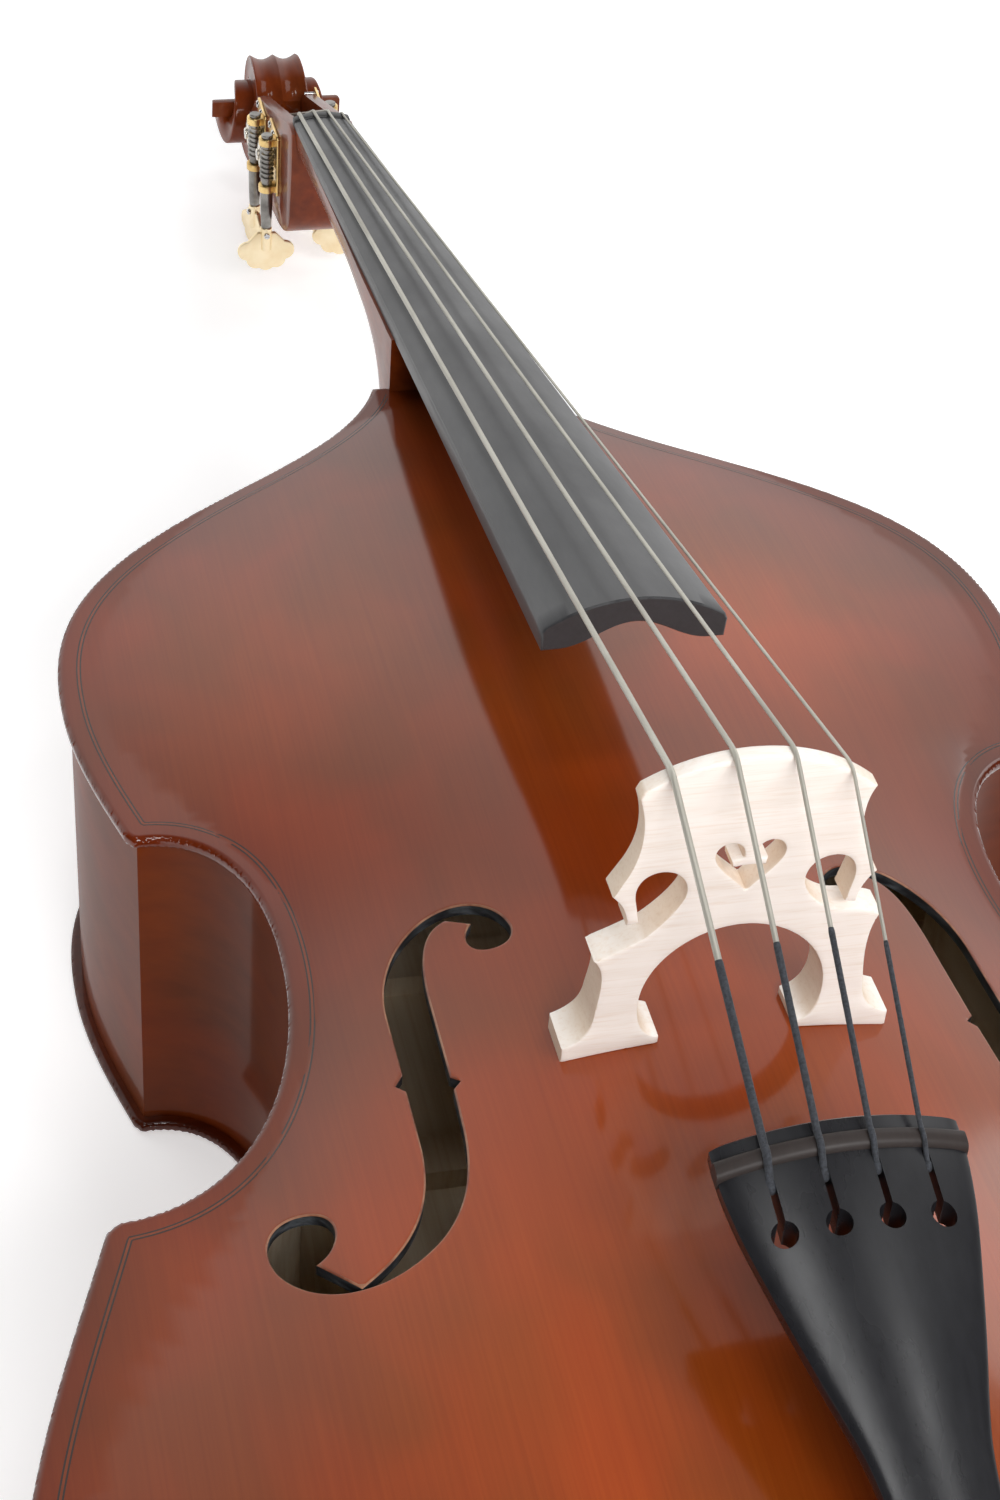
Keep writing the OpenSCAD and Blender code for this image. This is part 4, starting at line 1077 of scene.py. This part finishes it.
def bridge_right(side):
    """One edge of the bridge, from its top corner down to its foot and on to the middle of the arch."""
    corner, drop = (53, min(bridge_top(53 * side), 174.5)), BASS_KNEE_DROP if side < 0 else 0
    foot = [(x, float(arch(np.float64(x), np.float64(0))) + 0.05)
            for x in np.linspace(FOOT_OUT, FOOT_IN, 14)]
    return np.vstack([
        [corner],
        bezier(corner, (49, 163), (47.5, 148), (54, 133), 1.5), [(60, 121)],
        bezier((60, 121), (55, 116), (53, 111), (52.5, 104), 1.5), [(47, 105.5)], [(49.5, 118)],
        bezier((49.5, 118), (51, 129), (44, 133), (38, 132.5), 1.5),
        bezier((38, 132.5), (29, 132), (24, 122), (29, 114), 1.5),
        bezier((29, 114), (32, 108), (38, 104 - drop / 4), (44, 101.5 - drop / 2), 1.5),
        [(55, 100 - 0.9 * drop)], [(65.5, 96 - drop)],
        bezier((65.5, 96 - drop), (60, 86 - 0.7 * drop), (61, 70), (63, 55), 1.5),
        bezier((63, 55), (63.5, 46), (66, 40), (FOOT_OUT, 36), 1.5),
        foot, [(FOOT_IN, 36.6)],
        bezier((FOOT_IN, 37), (40, 38), (43, 46), (43, 56), 1.5),
        bezier((43, 56), (43, 80), (22, 98), (0, 98), 1.5),
    ])


def bridge_outline():
    right, left = bridge_right(1), bridge_right(-1)[::-1] * [-1, 1]
    top = [(x, bridge_top(x)) for x in np.linspace(-51.5, 51.5, 70)]
    return refine(anticlockwise(np.vstack([right, left[1:], top])), 2)


def heart_outline():
    right = np.vstack([
        bezier((0, 118), (5, 124), (12, 129), (15.1, 135.6), 1.5),
        arc((9.3, 138.5), 6.4, -24, 199, 18)[1:], [(8.2, 135.2)], [(7.6, 131.2)], [(4, 131.9)], [(0, 132)],
    ])
    return refine(anticlockwise(np.vstack([[(0, 118)], right, right[-2::-1] * [-1, 1]])), 2)


def bridge_faces(z):
    """Front and back of the bridge at a height above the belly's edge."""
    up = np.clip((z - 40) / 160, 0, 1)
    flare = 1.4 * np.clip((52 - z) / 12, 0, 1) ** 2
    front = -FOOT_HALF + 4.5 * up + 1.4 - flare
    back = FOOT_HALF - 12.5 * up
    return np.where(z < 40, -FOOT_HALF, np.minimum(front, -7.5)), np.where(z < 40, FOOT_HALF, back)


def bridge_shape():
    outer, heart = bridge_outline(), heart_outline()
    lo, hi = outer.min(0), outer.max(0)
    grid = np.array(np.meshgrid(np.arange(lo[0], hi[0], 5), np.arange(lo[1], hi[1], 5))).reshape(2, -1).T
    rings = []
    for loop, sign in ((outer, 1), (heart, -1)):
        for d in (0.35, 1.1, 3):
            p = loop + normals_2d(loop) * d * sign
            rings.append(p[distance(p, loop) > d - 0.1])
    points = np.vstack([*rings, grid])
    points = points[inside(points, outer) & ~inside(points, heart)]
    near = np.minimum(distance(points, outer), distance(points, heart))
    points = points[near > 0.25]
    flat, triangles = triangulated(outer, [heart], points)
    d = np.minimum(distance(flat, outer), distance(flat, heart))
    front, back = bridge_faces(flat[:, 1])
    edge = roll(d, 1.1)[0]
    high = np.column_stack([flat[:, 0], front + edge, flat[:, 1] + TOP_Z])
    low = np.column_stack([flat[:, 0], back - edge, flat[:, 1] + TOP_Z])
    points, faces, walls = two_sided(triangles, high, low)
    return points, faces + walls


piece("bridge_carved", bridge_shape(), bridge_maple, "bridge", angle=42)

# ---- tailpiece, saddle and tail wire ----

TAIL_TOP, TAIL_END, RIDGE_Y, TAIL_HOLE_Y = -137, -430, -148.5, -180.5
TAIL_SECTIONS = [
    (TAIL_END, 17), (-424, 21), (-400, 21), (-340, 20), (-300, 21.5), (-275, 24), (-257, 28), (-227, 36.5),
    (-186, 47), (-165, 51), (-150, 52.5), (TAIL_TOP, 52.5),
]
TAIL_STRINGS = (-33, -11, 11, 33)
TAIL_HALF, TAIL_EDGE = 52.5, 9  # half-width of the wide end, height of the edge


def tail_z(y):
    """Height of the tailpiece's lower edges."""
    return TOP_Z + 93 + 0.25 * (y - TAIL_TOP)


def tail_ring(y, w, shrink=0.0):
    crown = TAIL_EDGE + 9 * (w / TAIL_HALF) ** 1.3
    w = w - shrink
    s = np.sin(np.linspace(-math.pi / 2, math.pi / 2, 33))
    top = np.column_stack([w * s, np.full(33, y), tail_z(y) + TAIL_EDGE + (crown - TAIL_EDGE) * (1 - s * s)
                           - shrink - 1.3 * np.abs(s) ** 24])
    return np.vstack([top, [(w, y, tail_z(y) + 3), (w * 0.97, y, tail_z(y) + shrink),
                            (-w * 0.97, y, tail_z(y) + shrink), (-w, y, tail_z(y) + 3)]])


def tailpiece_shape():
    lines = smoothed(TAIL_SECTIONS, 5)
    rings = [tail_ring(TAIL_END, 16, 1.0), *[tail_ring(y, w) for y, w in lines[1:-1]],
             tail_ring(TAIL_TOP - 1.2, TAIL_HALF), tail_ring(TAIL_TOP, TAIL_HALF, 1.2)]
    body = loft(rings)
    cuts = []
    for x in TAIL_STRINGS:
        hole = arc((x, TAIL_HOLE_Y), 5.5, 0, 342, 20)
        cuts.append(slab(hole, TOP_Z + 50, TOP_Z + 140, 0.1, flat_z))
        cuts.append(box_shape((x - 1.5, TAIL_HOLE_Y, TOP_Z + 50), (x + 1.5, TAIL_HOLE_Y + 27, TOP_Z + 140)))
    for side in (-1, 1):
        start = (side * 9, TAIL_END - 20, tail_z(TAIL_END) - 0.5)
        cuts.append(lathe([(2, 0), (2, 52)], start, (0, 1, 0.25), 16))
    return combined(body, cuts, "DIFFERENCE")


def ridge_shape():
    """The low rib across the tailpiece that the strings bear on."""
    rings = []
    profile = [(4, -4), (3.9, 1.5), (3.3, 2.8), (2, 3.4), (0, 3.1), (-2.2, 2.2), (-3.4, 1.2), (-4, -0.6),
               (-4, -5)]
    for s in np.linspace(-1, 1, 41):
        z = tail_z(RIDGE_Y) + 9 + 9 * (1 - s * s)
        rings.append(np.array([(53 * s, RIDGE_Y + a, z + b) for a, b in profile]))
    return loft(rings)


piece("tailpiece_shaped", tailpiece_shape(), tailpiece_ebony, "tailpiece", angle=38)
piece("tailpiece_ridge", ridge_shape(), ridge_ebony, angle=50)
rounded_copy("saddle_rounded", "saddle")

# ---- strings ----

STRING_R = {"e": 1.5, "a": 1.25, "d": 1.05, "g": 0.8}
BRIDGE_SPREAD, NUT_SPREAD, STRING_GAP, DRUM_R = 40, 16.5, 0.25, 4.5
# where the silk at the tailpiece end starts, as distance behind the bridge
SILK_FROM = {"e": 80.5, "a": 80.3, "d": 75.5, "g": 76.5}


def rounded_route(route, reach=5.0):
    """The route with its corners eased."""
    route = np.asarray(route, float)
    out = [route[0]]
    for a, b, c in zip(route, route[1:], route[2:]):
        before, after = min(reach, np.linalg.norm(b - a) * 0.45), min(reach, np.linalg.norm(c - b) * 0.45)
        p, q = b + unit(a - b) * before, b + unit(c - b) * after
        out += [(1 - t) ** 2 * p + 2 * t * (1 - t) * b + t * t * q for t in (0, 0.25, 0.5, 0.75, 1)]
    return np.array(out + [route[-1]])


def nut_height(x):
    return seat(NUT_Y) + 5 - 60 + math.sqrt(64.2 ** 2 - x * x)


def string_routes(i, n):
    """The string's way from the tailpiece over the bridge to the nut, and round its post."""
    r, place, tx = STRING_R[n], (-1, -1 / 3, 1 / 3, 1)[i], TAIL_STRINGS[i]
    side, post_y, post_z = MACHINES[n]
    bx, nx = BRIDGE_SPREAD * place, NUT_SPREAD * place
    rz = tail_z(RIDGE_Y) + 9 + 9 * (1 - (tx / 53) ** 2) + 3.4
    nz = nut_height(nx) + r + STRING_GAP
    top = TOP_Z + bridge_top(bx) + r + STRING_GAP
    wrap = (DRUM_R + r + 0.5) / math.cos(math.radians(18))
    coil = []
    for k in range(61):
        a = math.radians(70 - 12 * k)
        coil.append((3.5 * place - side * 2.05 * r * k / 30, post_y + wrap * math.cos(a),
                     post_z + wrap * math.sin(a)))
    tail = [(tx, RIDGE_Y - 9, rz - 7), (tx, RIDGE_Y - 2, rz + r + STRING_GAP - 0.8),
            (tx, RIDGE_Y + 3, rz + r + STRING_GAP)]
    over = [(bx, -8, top - 0.5), (bx, -4, top), (bx, 0, top - 0.3),
            (nx, NUT_Y, nz + 0.4), (nx, NUT_Y + 5, nz), (nx, NUT_Y + 9, nz - 1.4)]
    return tail, over, coil


def between(a, b, start, end, n):
    """Points along a straight line from a to b, from one distance to another."""
    a, b = np.asarray(a, float), np.asarray(b, float)
    d = unit(b - a)
    return [a + d * t for t in np.linspace(start, end, n)]


for i, n in enumerate("eadg"):
    tail, over, coil = string_routes(i, n)
    r = STRING_R[n]
    route = np.vstack([rounded_route(np.vstack([tail, over, coil[:1]]), 3.0)[:-1], coil])
    piece(f"string_{n}_wound", tube(route, [r] * len(route)), string_steel, f"string_{n}")
    start, end = np.array(tail[2]), np.array(over[0])
    gap = np.linalg.norm(end - start)
    fuzz = rng.normal(0, 0.05, 200)
    sleeve = np.vstack([rounded_route(tail, 3.0)[:-1], between(start, end, 0, gap - SILK_FROM[n], 60)])
    radii = [r + 0.28 + 0.5 * fuzz[k % 200] for k in range(len(sleeve))]
    radii[-1] = r + 0.05
    knot_r = 1.2 + r
    centre = np.array(tail[0]) + [0, -1.2, -1.5]
    knot = lathe([(knot_r * math.sin(a), -knot_r * 1.4 * math.cos(a)) for a in np.linspace(0, math.pi, 13)],
                 centre, (0, 1, 0.5), 20)
    piece(f"silk_{n}_tail", join(tube(sleeve, radii, 14), knot), string_silk)

# ---- tuning machines ----

PLATE_X, PLATE_THICK = PEGBOX_HALF, 2
WORM_X, WORM_DY, WORM_R, WORM_CORE, SHAFT_R = 33, -17, 5.6, 4.4, 3
GEAR_R, GEAR_TEETH, KEY_DROP = 11, 24, 76
KEY_SPIN = {"a": 75}  # how far a key is turned about its shaft, in degrees
LUG_R, LUG_THICK, LUG_REACH = 6.5, 6, 5
AXLE_X = (0, 0, 0), (1, 0, 0)
WORM_AXLE = (WORM_X, WORM_DY, 0), (0, 0, 1)
KEY_SCREW_Z = 15 - KEY_DROP


def spun(shape, turn):
    """A shape turned about the axis of its worm shaft."""
    points, faces = shape
    c, s = math.cos(math.radians(turn)), math.sin(math.radians(turn))
    out = np.array(points, float) - (WORM_X, WORM_DY, 0)
    return out @ np.array([(c, s, 0), (-s, c, 0), (0, 0, 1)]) + (WORM_X, WORM_DY, 0), faces


def placed(shape, side, y, z):
    """A machine part from its own place, x outward from the cheek, to its place on the pegbox."""
    shape = shape if side > 0 else mirrored(shape)
    return moved(shape, (0, y, z))


def rounded_rectangle(y0, y1, z0, z1, r):
    y0, y1, z0, z1 = y0 + r, y1 - r, z0 + r, z1 - r
    corners = ((y1, z1), (y0, z1), (y0, z0), (y1, z0))
    return np.vstack([arc(c, r, 90 * k, 90 * k + 90, 6) for k, c in enumerate(corners)])


def plate_shape():
    """Brass plate with two bearing lugs for the worm shaft and a collar for the string post."""
    leaf = slab(rounded_rectangle(-25, 13, -26, 26, 3.5), PLATE_X, PLATE_X + PLATE_THICK, 0.5, across_x)
    foot = [(PLATE_X + 0.3, WORM_DY + LUG_REACH), (PLATE_X + 0.3, WORM_DY - LUG_REACH)]
    ring = anticlockwise(np.vstack([arc((WORM_X, WORM_DY), LUG_R, -129, 129, 26), foot]))
    body = combined(leaf, [slab(ring, z, z + LUG_THICK, 0.6, flat_z) for z in (-23, 17)], "UNION")
    bores = [lathe([(SHAFT_R + 0.06, -40), (SHAFT_R + 0.06, 40)], *WORM_AXLE, 28),
             lathe([(5.06, 0), (5.06, 20)], (PLATE_X - 5, 0, 0), (1, 0, 0), 32)]
    return combined(body, bores, "DIFFERENCE")


def screw_shapes():
    """Four countersunk wood screws with slotted heads."""
    shapes, top = [], 8 + PLATE_THICK
    for y in (-7, 9):
        for z in (-21, 21):
            head = lathe([(1.3, 0), (1.4, 8), (1.4, top), (3, top), (3, top + 0.25), (2.7, top + 1),
                          (1.9, top + 1.6)], (PLATE_X - 8, y, z), (1, 0, 0), 24)
            cut = moved(box_shape((0, -4, -0.35), (2, 4, 0.35)), (PLATE_X + PLATE_THICK + 1, y, z))
            shapes.append(combined(head, [cut], "DIFFERENCE"))
    return join(*shapes)


def worm_shape():
    """Shaft with its collars, and a core with a helical thread."""
    core = lathe([(2.6, -62), (3, -61.5), (3, -54.7), (4.1, -54.4), (4.6, -42), (4.95, -30), (4.95, -23.6),
                  (3, -23.3), (3, -17), (4.2, -16.7), (WORM_CORE - 0.2, -16), (WORM_CORE - 0.2, 16),
                  (4.2, 16.7), (3, 17), (3, 23.3), (4.6, 23.4), (4.6, 25), (4, 25.5)], *WORM_AXLE, 36)
    rings = []
    pitch, turns, steps = 4, 7, 30
    for k in range(turns * steps + 1):
        a, z = 2 * math.pi * k / steps, -14 + pitch * k / steps
        grow = min(1, k / 12, (turns * steps - k) / 12)
        top = WORM_CORE - 0.3 + (WORM_R - WORM_CORE + 0.3) * grow
        profile = [(WORM_CORE - 0.6, -1.4), (top, -0.6), (top, 0.6), (WORM_CORE - 0.6, 1.4)]
        rings.append([(WORM_X + q * math.cos(a), WORM_DY + q * math.sin(a), z + h) for q, h in profile])
    thread = loft([np.array(r) for r in rings])
    return join(core, flipped(thread))


def key_outline():
    """Outer edge of the cloverleaf, eased where its leaves meet."""
    leaves = [((-15, 0), 8), ((15, 0), 8), ((-8, -7.5), 8), ((8, -7.5), 8), ((0, -10), 7.5)]
    shoulders = np.array([(-15, -8), (15, -8), (15, 8), (7.5, 16), (-7.5, 16), (-15, 8)], float)
    angles = np.linspace(-math.pi, math.pi, 240, endpoint=False)
    reach = []
    for a in angles:
        d = np.array([math.cos(a), math.sin(a)])
        best = 4.0
        for centre, r in leaves:
            along, off = np.dot(centre, d), centre[0] * d[1] - centre[1] * d[0]
            if abs(off) < r:
                best = max(best, along + math.sqrt(r * r - off * off))
        for p, q in zip(shoulders, np.roll(shoulders, -1, axis=0)):
            run = q - p
            across = d[0] * run[1] - d[1] * run[0]
            if abs(across) > 1e-9:
                along, share = (p[0] * run[1] - p[1] * run[0]) / across, (p[0] * d[1] - p[1] * d[0]) / across
                if along > 0 and 0 <= share <= 1:
                    best = max(best, along)
        reach.append(best)
    reach = np.array(reach)
    kernel = np.array([1, 2, 3, 2, 1]) / 9
    eased = sum(k * np.roll(reach, s) for k, s in zip(kernel, range(-2, 3)))
    eased = np.minimum(eased, reach + 0.1)
    return np.column_stack([eased * np.cos(angles), eased * np.sin(angles)])


def key_shape():
    """Cloverleaf key, facing along y, with its hub on the shaft."""
    def upright(points):
        return np.column_stack([WORM_X + points[:, 0], WORM_DY - points[:, 2], points[:, 1] - KEY_DROP])

    leaf = slab(key_outline(), -2, 2, 0.9, upright)
    bore = SHAFT_R + 0.06
    profile = [(bore, 21), (bore, 4), (3.2, 0.5), (4.2, 1), (4.6, 2.2), (4.6, 20.4), (4, 21)]
    hub = turned_ring(profile, (WORM_X, WORM_DY, -KEY_DROP), (0, 0, 1), 32)
    return join(leaf, hub)


def key_screw_shape():
    body = lathe([(1.3, SHAFT_R + 0.05), (1.3, 4.6), (2.4, 4.6), (2.4, 5.6), (2.0, 6.1), (1.2, 6.2)],
                 (WORM_X, WORM_DY, KEY_SCREW_Z), (0, -1, 0), 24)
    cut = moved(box_shape((-3, -1, -0.3), (3, 1, 0.3)), (WORM_X, WORM_DY - 6.4, KEY_SCREW_Z))
    return combined(body, [cut], "DIFFERENCE")


def post_shape():
    body = lathe([(4.6, -21), (5, -20.6), (5, -SLOT_HALF - 0.4), (DRUM_R, -SLOT_HALF + 0.4),
                  (DRUM_R - 0.3, 0), (DRUM_R, SLOT_HALF - 0.9), (5, SLOT_HALF), (5, 29.3),
                  (3, 29.5), (3, 38.2), (2.7, 38.5)], *AXLE_X, 40)
    hole = lathe([(1.3, -10), (1.3, 10)], (0, 0, 0), (0, 1, 0), 20)
    return combined(body, [hole], "DIFFERENCE")


def gear_shape():
    """Toothed wheel with a hub."""
    ring = []
    for k in range(GEAR_TEETH):
        base = 360 * k / GEAR_TEETH
        for a, r in ((-1.9, GEAR_R - 1.7), (1.9, GEAR_R - 1.7), (4.2, GEAR_R - 0.15), (5.2, GEAR_R),
                     (9.8, GEAR_R), (10.8, GEAR_R - 0.15)):
            t = math.radians(base + a)
            ring.append((r * math.cos(t), r * math.sin(t)))
    wheel = slab(np.array(ring), 29.7, 36.3, 0.35, across_x)
    hub = turned_ring([(3.05, 38.6), (3.05, 36), (6, 36), (5.8, 36.7), (4.7, 37), (4.6, 38.3), (4.2, 38.7)],
                      *AXLE_X, 36)
    return join(wheel, hub)


# each kind: its shape, material, slot and body
machine_parts = {
    "tuner_plate": (plate_shape(), brass, "brass", "root"),
    "worm": (worm_shape(), worm_steel, "machine_steel", "worm"),
    "key": (key_shape(), key_brass, "brass", "worm"),
    "key_screw": (key_screw_shape(), bright_steel, "bright_steel", "worm"),
    "string_post": (post_shape(), machine_steel, "machine_steel", "post"),
    "gear": (gear_shape(), gear_metal, "brass", "post"),
}
screws = screw_shapes()
for n, place in MACHINES.items():
    for kind, (shape, material, slot_name, body) in machine_parts.items():
        turn = KEY_SPIN.get(n, 0) if kind in ("key", "key_screw") else 0
        piece(f"{kind}_{n}_shown", placed(spun(shape, turn), *place), material, f"{kind}_{n}",
              body if body == "root" else f"{body}_{n}", angle=34)
piece("plate_screws_shown", join(*[placed(screws, *p) for p in MACHINES.values()]), bright_steel,
      "plate_screws", angle=34)

# ---- endpin ----

COLLAR_Y, SOCKET_R, ROD_R, ROD_LEN = -LOWER_LEN + OVERHANG, 14, 5, 400
CLAMP_Y = COLLAR_Y - 28
DOWN = (0, -1, 0)
END = (0, COLLAR_Y, ENDPIN_Z)
BORE_R = ROD_R + 0.1

socket = turned_ring([(BORE_R, -40), (SOCKET_R - 0.4, -40), (SOCKET_R, -39.6), (SOCKET_R, 3.6),
                      (SOCKET_R - 0.4, 4), (BORE_R, 4)], END, DOWN, 56)
piece("endpin_socket_turned", socket, ebony, "endpin_socket")
collar = turned_ring([
    (BORE_R, 4.1), (SOCKET_R, 4.1), (SOCKET_R, 0.2), (20.6, 0), (21, 0.5), (21, 3), (20.4, 6.6), (19.6, 8.2),
    (16, 9.6), (14, 10.6), (14, 15.4), (16, 16.8), (19.4, 17.8), (20, 18.4), (20, 21.5), (19.4, 22.2),
    (15.4, 23.6), (14.8, 25), (13.4, 33.2), (12.6, 34), (BORE_R, 34)], END, DOWN, 72)
clamp_bore = lathe([(3.1, 0), (3.1, 30)], (0, CLAMP_Y, ENDPIN_Z), (0, 0, 1), 28)
collar = combined(collar, [clamp_bore], "DIFFERENCE")
piece("endpin_collar_turned", collar, bright_steel, "endpin_collar")

rod = [(4.6, -ROD_LEN + 54), (ROD_R, -ROD_LEN + 54.6)]
for k in range(9):
    groove = -ROD_LEN + 110 + 30 * k
    rod += [(ROD_R, groove - 1.4), (ROD_R - 0.7, groove - 0.6), (ROD_R - 0.7, groove + 0.6),
            (ROD_R, groove + 1.4)]
rod += [(ROD_R, 53.6), (4.6, 54)]
piece("endpin_rod_turned", lathe(rod, END, DOWN), bright_steel, "endpin_rod", "endpin")
tip_profile = [(8.4, 38), (9, 38.6), (10, 45), (11, 48), (10.6, 49), (11.2, 50)]
tip_profile += [tuple(p) for p in bezier((11.2, 50), (15, 56), (14, 68), (3, 69.6), 1.5)] + [(0.3, 70)]
piece("endpin_tip_moulded", lathe([(5.1, 38), *tip_profile], END, DOWN, 56), tip_rubber, "endpin_tip",
      "endpin")

SCREW_FOOT = (0, CLAMP_Y, ENDPIN_Z + ROD_R + 0.4)
stem = lathe([(2.6, 0), (3, 0.5), (3, 15.6), (5.6, 15.6), (6, 16), (6, 19), (5.4, 19.6)],
             SCREW_FOOT, (0, 0, 1), 36)
wing_line = np.vstack([arc((-5.5, 4.5), 3.5, 90, 250, 12), arc((5.5, 4.5), 3.5, -70, 90, 12),
                       [(2, 6), (-2, 6)]])
wing = slab(anticlockwise(wing_line), -1.5, 1.5, 0.6,
            lambda p: np.column_stack([p[:, 0], SCREW_FOOT[1] - p[:, 2], SCREW_FOOT[2] + 18.4 + p[:, 1]]))
piece("endpin_screw_shown", join(stem, wing), bright_steel, "endpin_screw", "endpin_clamp")

# ---- carried-over nodes and their materials ----

for name in ("upper_block", "lower_block", "corner_blocks", "linings", "back_braces", "bass_bar",
             "sound_post"):
    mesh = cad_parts[name].data
    mesh.materials.clear()
    mesh.materials.append(inner_spruce)

# ---- tail wire ----

WIRE_R, WIRE_Y, WIRE_LOOP_R = 1.6, -507.5, 16.4
wire_half = [
    (9, TAIL_END + 22, tail_z(TAIL_END) + 10), (9, TAIL_END - 1, tail_z(TAIL_END) + 4.25),
    (9.5, -480, TOP_Z + 9.6), (10, -497, TOP_Z + 9.2), (10, -503, TOP_Z + 7.6), (10.3, -506, TOP_Z - 1),
    (12, WIRE_Y, TOP_Z - 40), (15, WIRE_Y, ENDPIN_Z + 20),
]
wire_half += [(WIRE_LOOP_R * math.cos(a), WIRE_Y, ENDPIN_Z + WIRE_LOOP_R * math.sin(a))
              for a in np.radians(np.arange(15, -86, -8))]
wire = rounded_route([*wire_half, (0, WIRE_Y, ENDPIN_Z - WIRE_LOOP_R),
                      *((-x, y, z) for x, y, z in wire_half[::-1])], 3.0)
piece("tail_wire_drawn", tube(wire, [WIRE_R] * len(wire)), tail_wire_steel, "tail_wire")

# ---- floor, light and camera ----

FLOOR_HALF, FLOOR_Z = 9.0, -0.0006  # in metres


def studio_floor():
    mesh = bpy.data.meshes.new("floor")
    n = 8
    xs = np.linspace(-FLOOR_HALF, FLOOR_HALF, n)
    points = [(x, y, FLOOR_Z) for y in xs for x in xs]
    faces = [(j * n + i, j * n + i + 1, (j + 1) * n + i + 1, (j + 1) * n + i)
             for j in range(n - 1) for i in range(n - 1)]
    mesh.from_pydata(points, [], faces)
    mesh.materials.append(grained(
        "studio_floor", ((0.5, 0.5, 0.5), 2, 0.5), (0.3, (0.93, 0.93, 0.93)), (0.7, (0.95, 0.95, 0.95)),
        Roughness=0.9, Specular_IOR_Level=0.0, Emission_Color=(1, 1, 1, 1), Emission_Strength=0.5))
    in_scene("floor", mesh)


studio_floor()


LIGHT_AIM, LIGHT_AWAY = Vector((0, 0.15, 0.2)), 3  # in metres


def softbox(name, place, side, power):
    light = bpy.data.lights.new(name, "AREA")
    light.shape = "RECTANGLE"
    light.size = light.size_y = side
    light.energy = power
    made = in_scene(name, light)
    made.location = place
    made.rotation_mode = "QUATERNION"
    made.rotation_quaternion = (LIGHT_AIM - place).to_track_quat("-Z", "Y")


for name, bearing, height, side, power in (
        ("front", 180, 35, 1.2, 52), ("front_right", 150, 40, 1.2, 34), ("right", 60, 45, 1.2, 12),
        ("overhead_left", 222, 80, 0.5, 8), ("overhead_right", 112, 68, 0.4, 5)):
    a, b = math.radians(bearing), math.radians(height)
    way = Vector((math.sin(a) * math.cos(b), math.cos(a) * math.cos(b), math.sin(b)))
    softbox(name, LIGHT_AIM + LIGHT_AWAY * way, side, power)


WALL_STRENGTH = 1.36  # light of the wall beyond the scroll


def studio_world():
    """A dim room with a wide bright wall beyond the scroll, brightest low down."""
    made = bpy.data.worlds.new("studio")
    made.use_nodes = True
    tree = made.node_tree
    view = add(tree, "ShaderNodeTexCoord").outputs["Generated"]
    way = add(tree, "ShaderNodeSeparateXYZ", {"Vector": view})
    wall = ramp(tree, way.outputs["Z"], (0.0, (1, 1, 1)), (0.46, (0.97, 0.97, 0.97)),
                (0.68, (0.74, 0.74, 0.74)), (0.77, (0.56, 0.56, 0.57)), (0.84, (0.36, 0.36, 0.37)),
                (1.0, (0.2, 0.2, 0.2)))
    beyond = ramp(tree, way.outputs["Y"], (0.2, (0, 0, 0)), (0.5, (1, 1, 1)))
    colour = blended(tree, beyond, (0.04, 0.04, 0.04), wall)
    background = tree.nodes["Background"]
    feed(tree, background, Color=colour)
    background.inputs["Strength"].default_value = WALL_STRENGTH
    bpy.context.scene.world = made


studio_world()
bpy.context.scene.view_settings.view_transform = "Standard"

CAMERA_PLACE = (-0.346928, -0.834807, 1.115896)
CAMERA_TURN = (2.246, -0.216, 0.190)  # rotation vector of the view, in radians
FOCAL_SHARE = 1.819496  # focal length as a share of the picture's height
SENSOR = 36

camera_data = bpy.data.cameras.new("camera")
camera_data.sensor_width = SENSOR
camera_data.sensor_fit = "AUTO"
camera_data.lens = SENSOR * FOCAL_SHARE
camera = in_scene("camera", camera_data)
spin = Vector(CAMERA_TURN)
to_view = Matrix.Rotation(spin.length, 3, spin.normalized())
right, down, ahead = (Vector(to_view[i]) for i in range(3))
camera.matrix_world = Matrix((
    (right.x, -down.x, -ahead.x, CAMERA_PLACE[0]),
    (right.y, -down.y, -ahead.y, CAMERA_PLACE[1]),
    (right.z, -down.z, -ahead.z, CAMERA_PLACE[2]),
    (0, 0, 0, 1),
))
bpy.context.scene.camera = camera
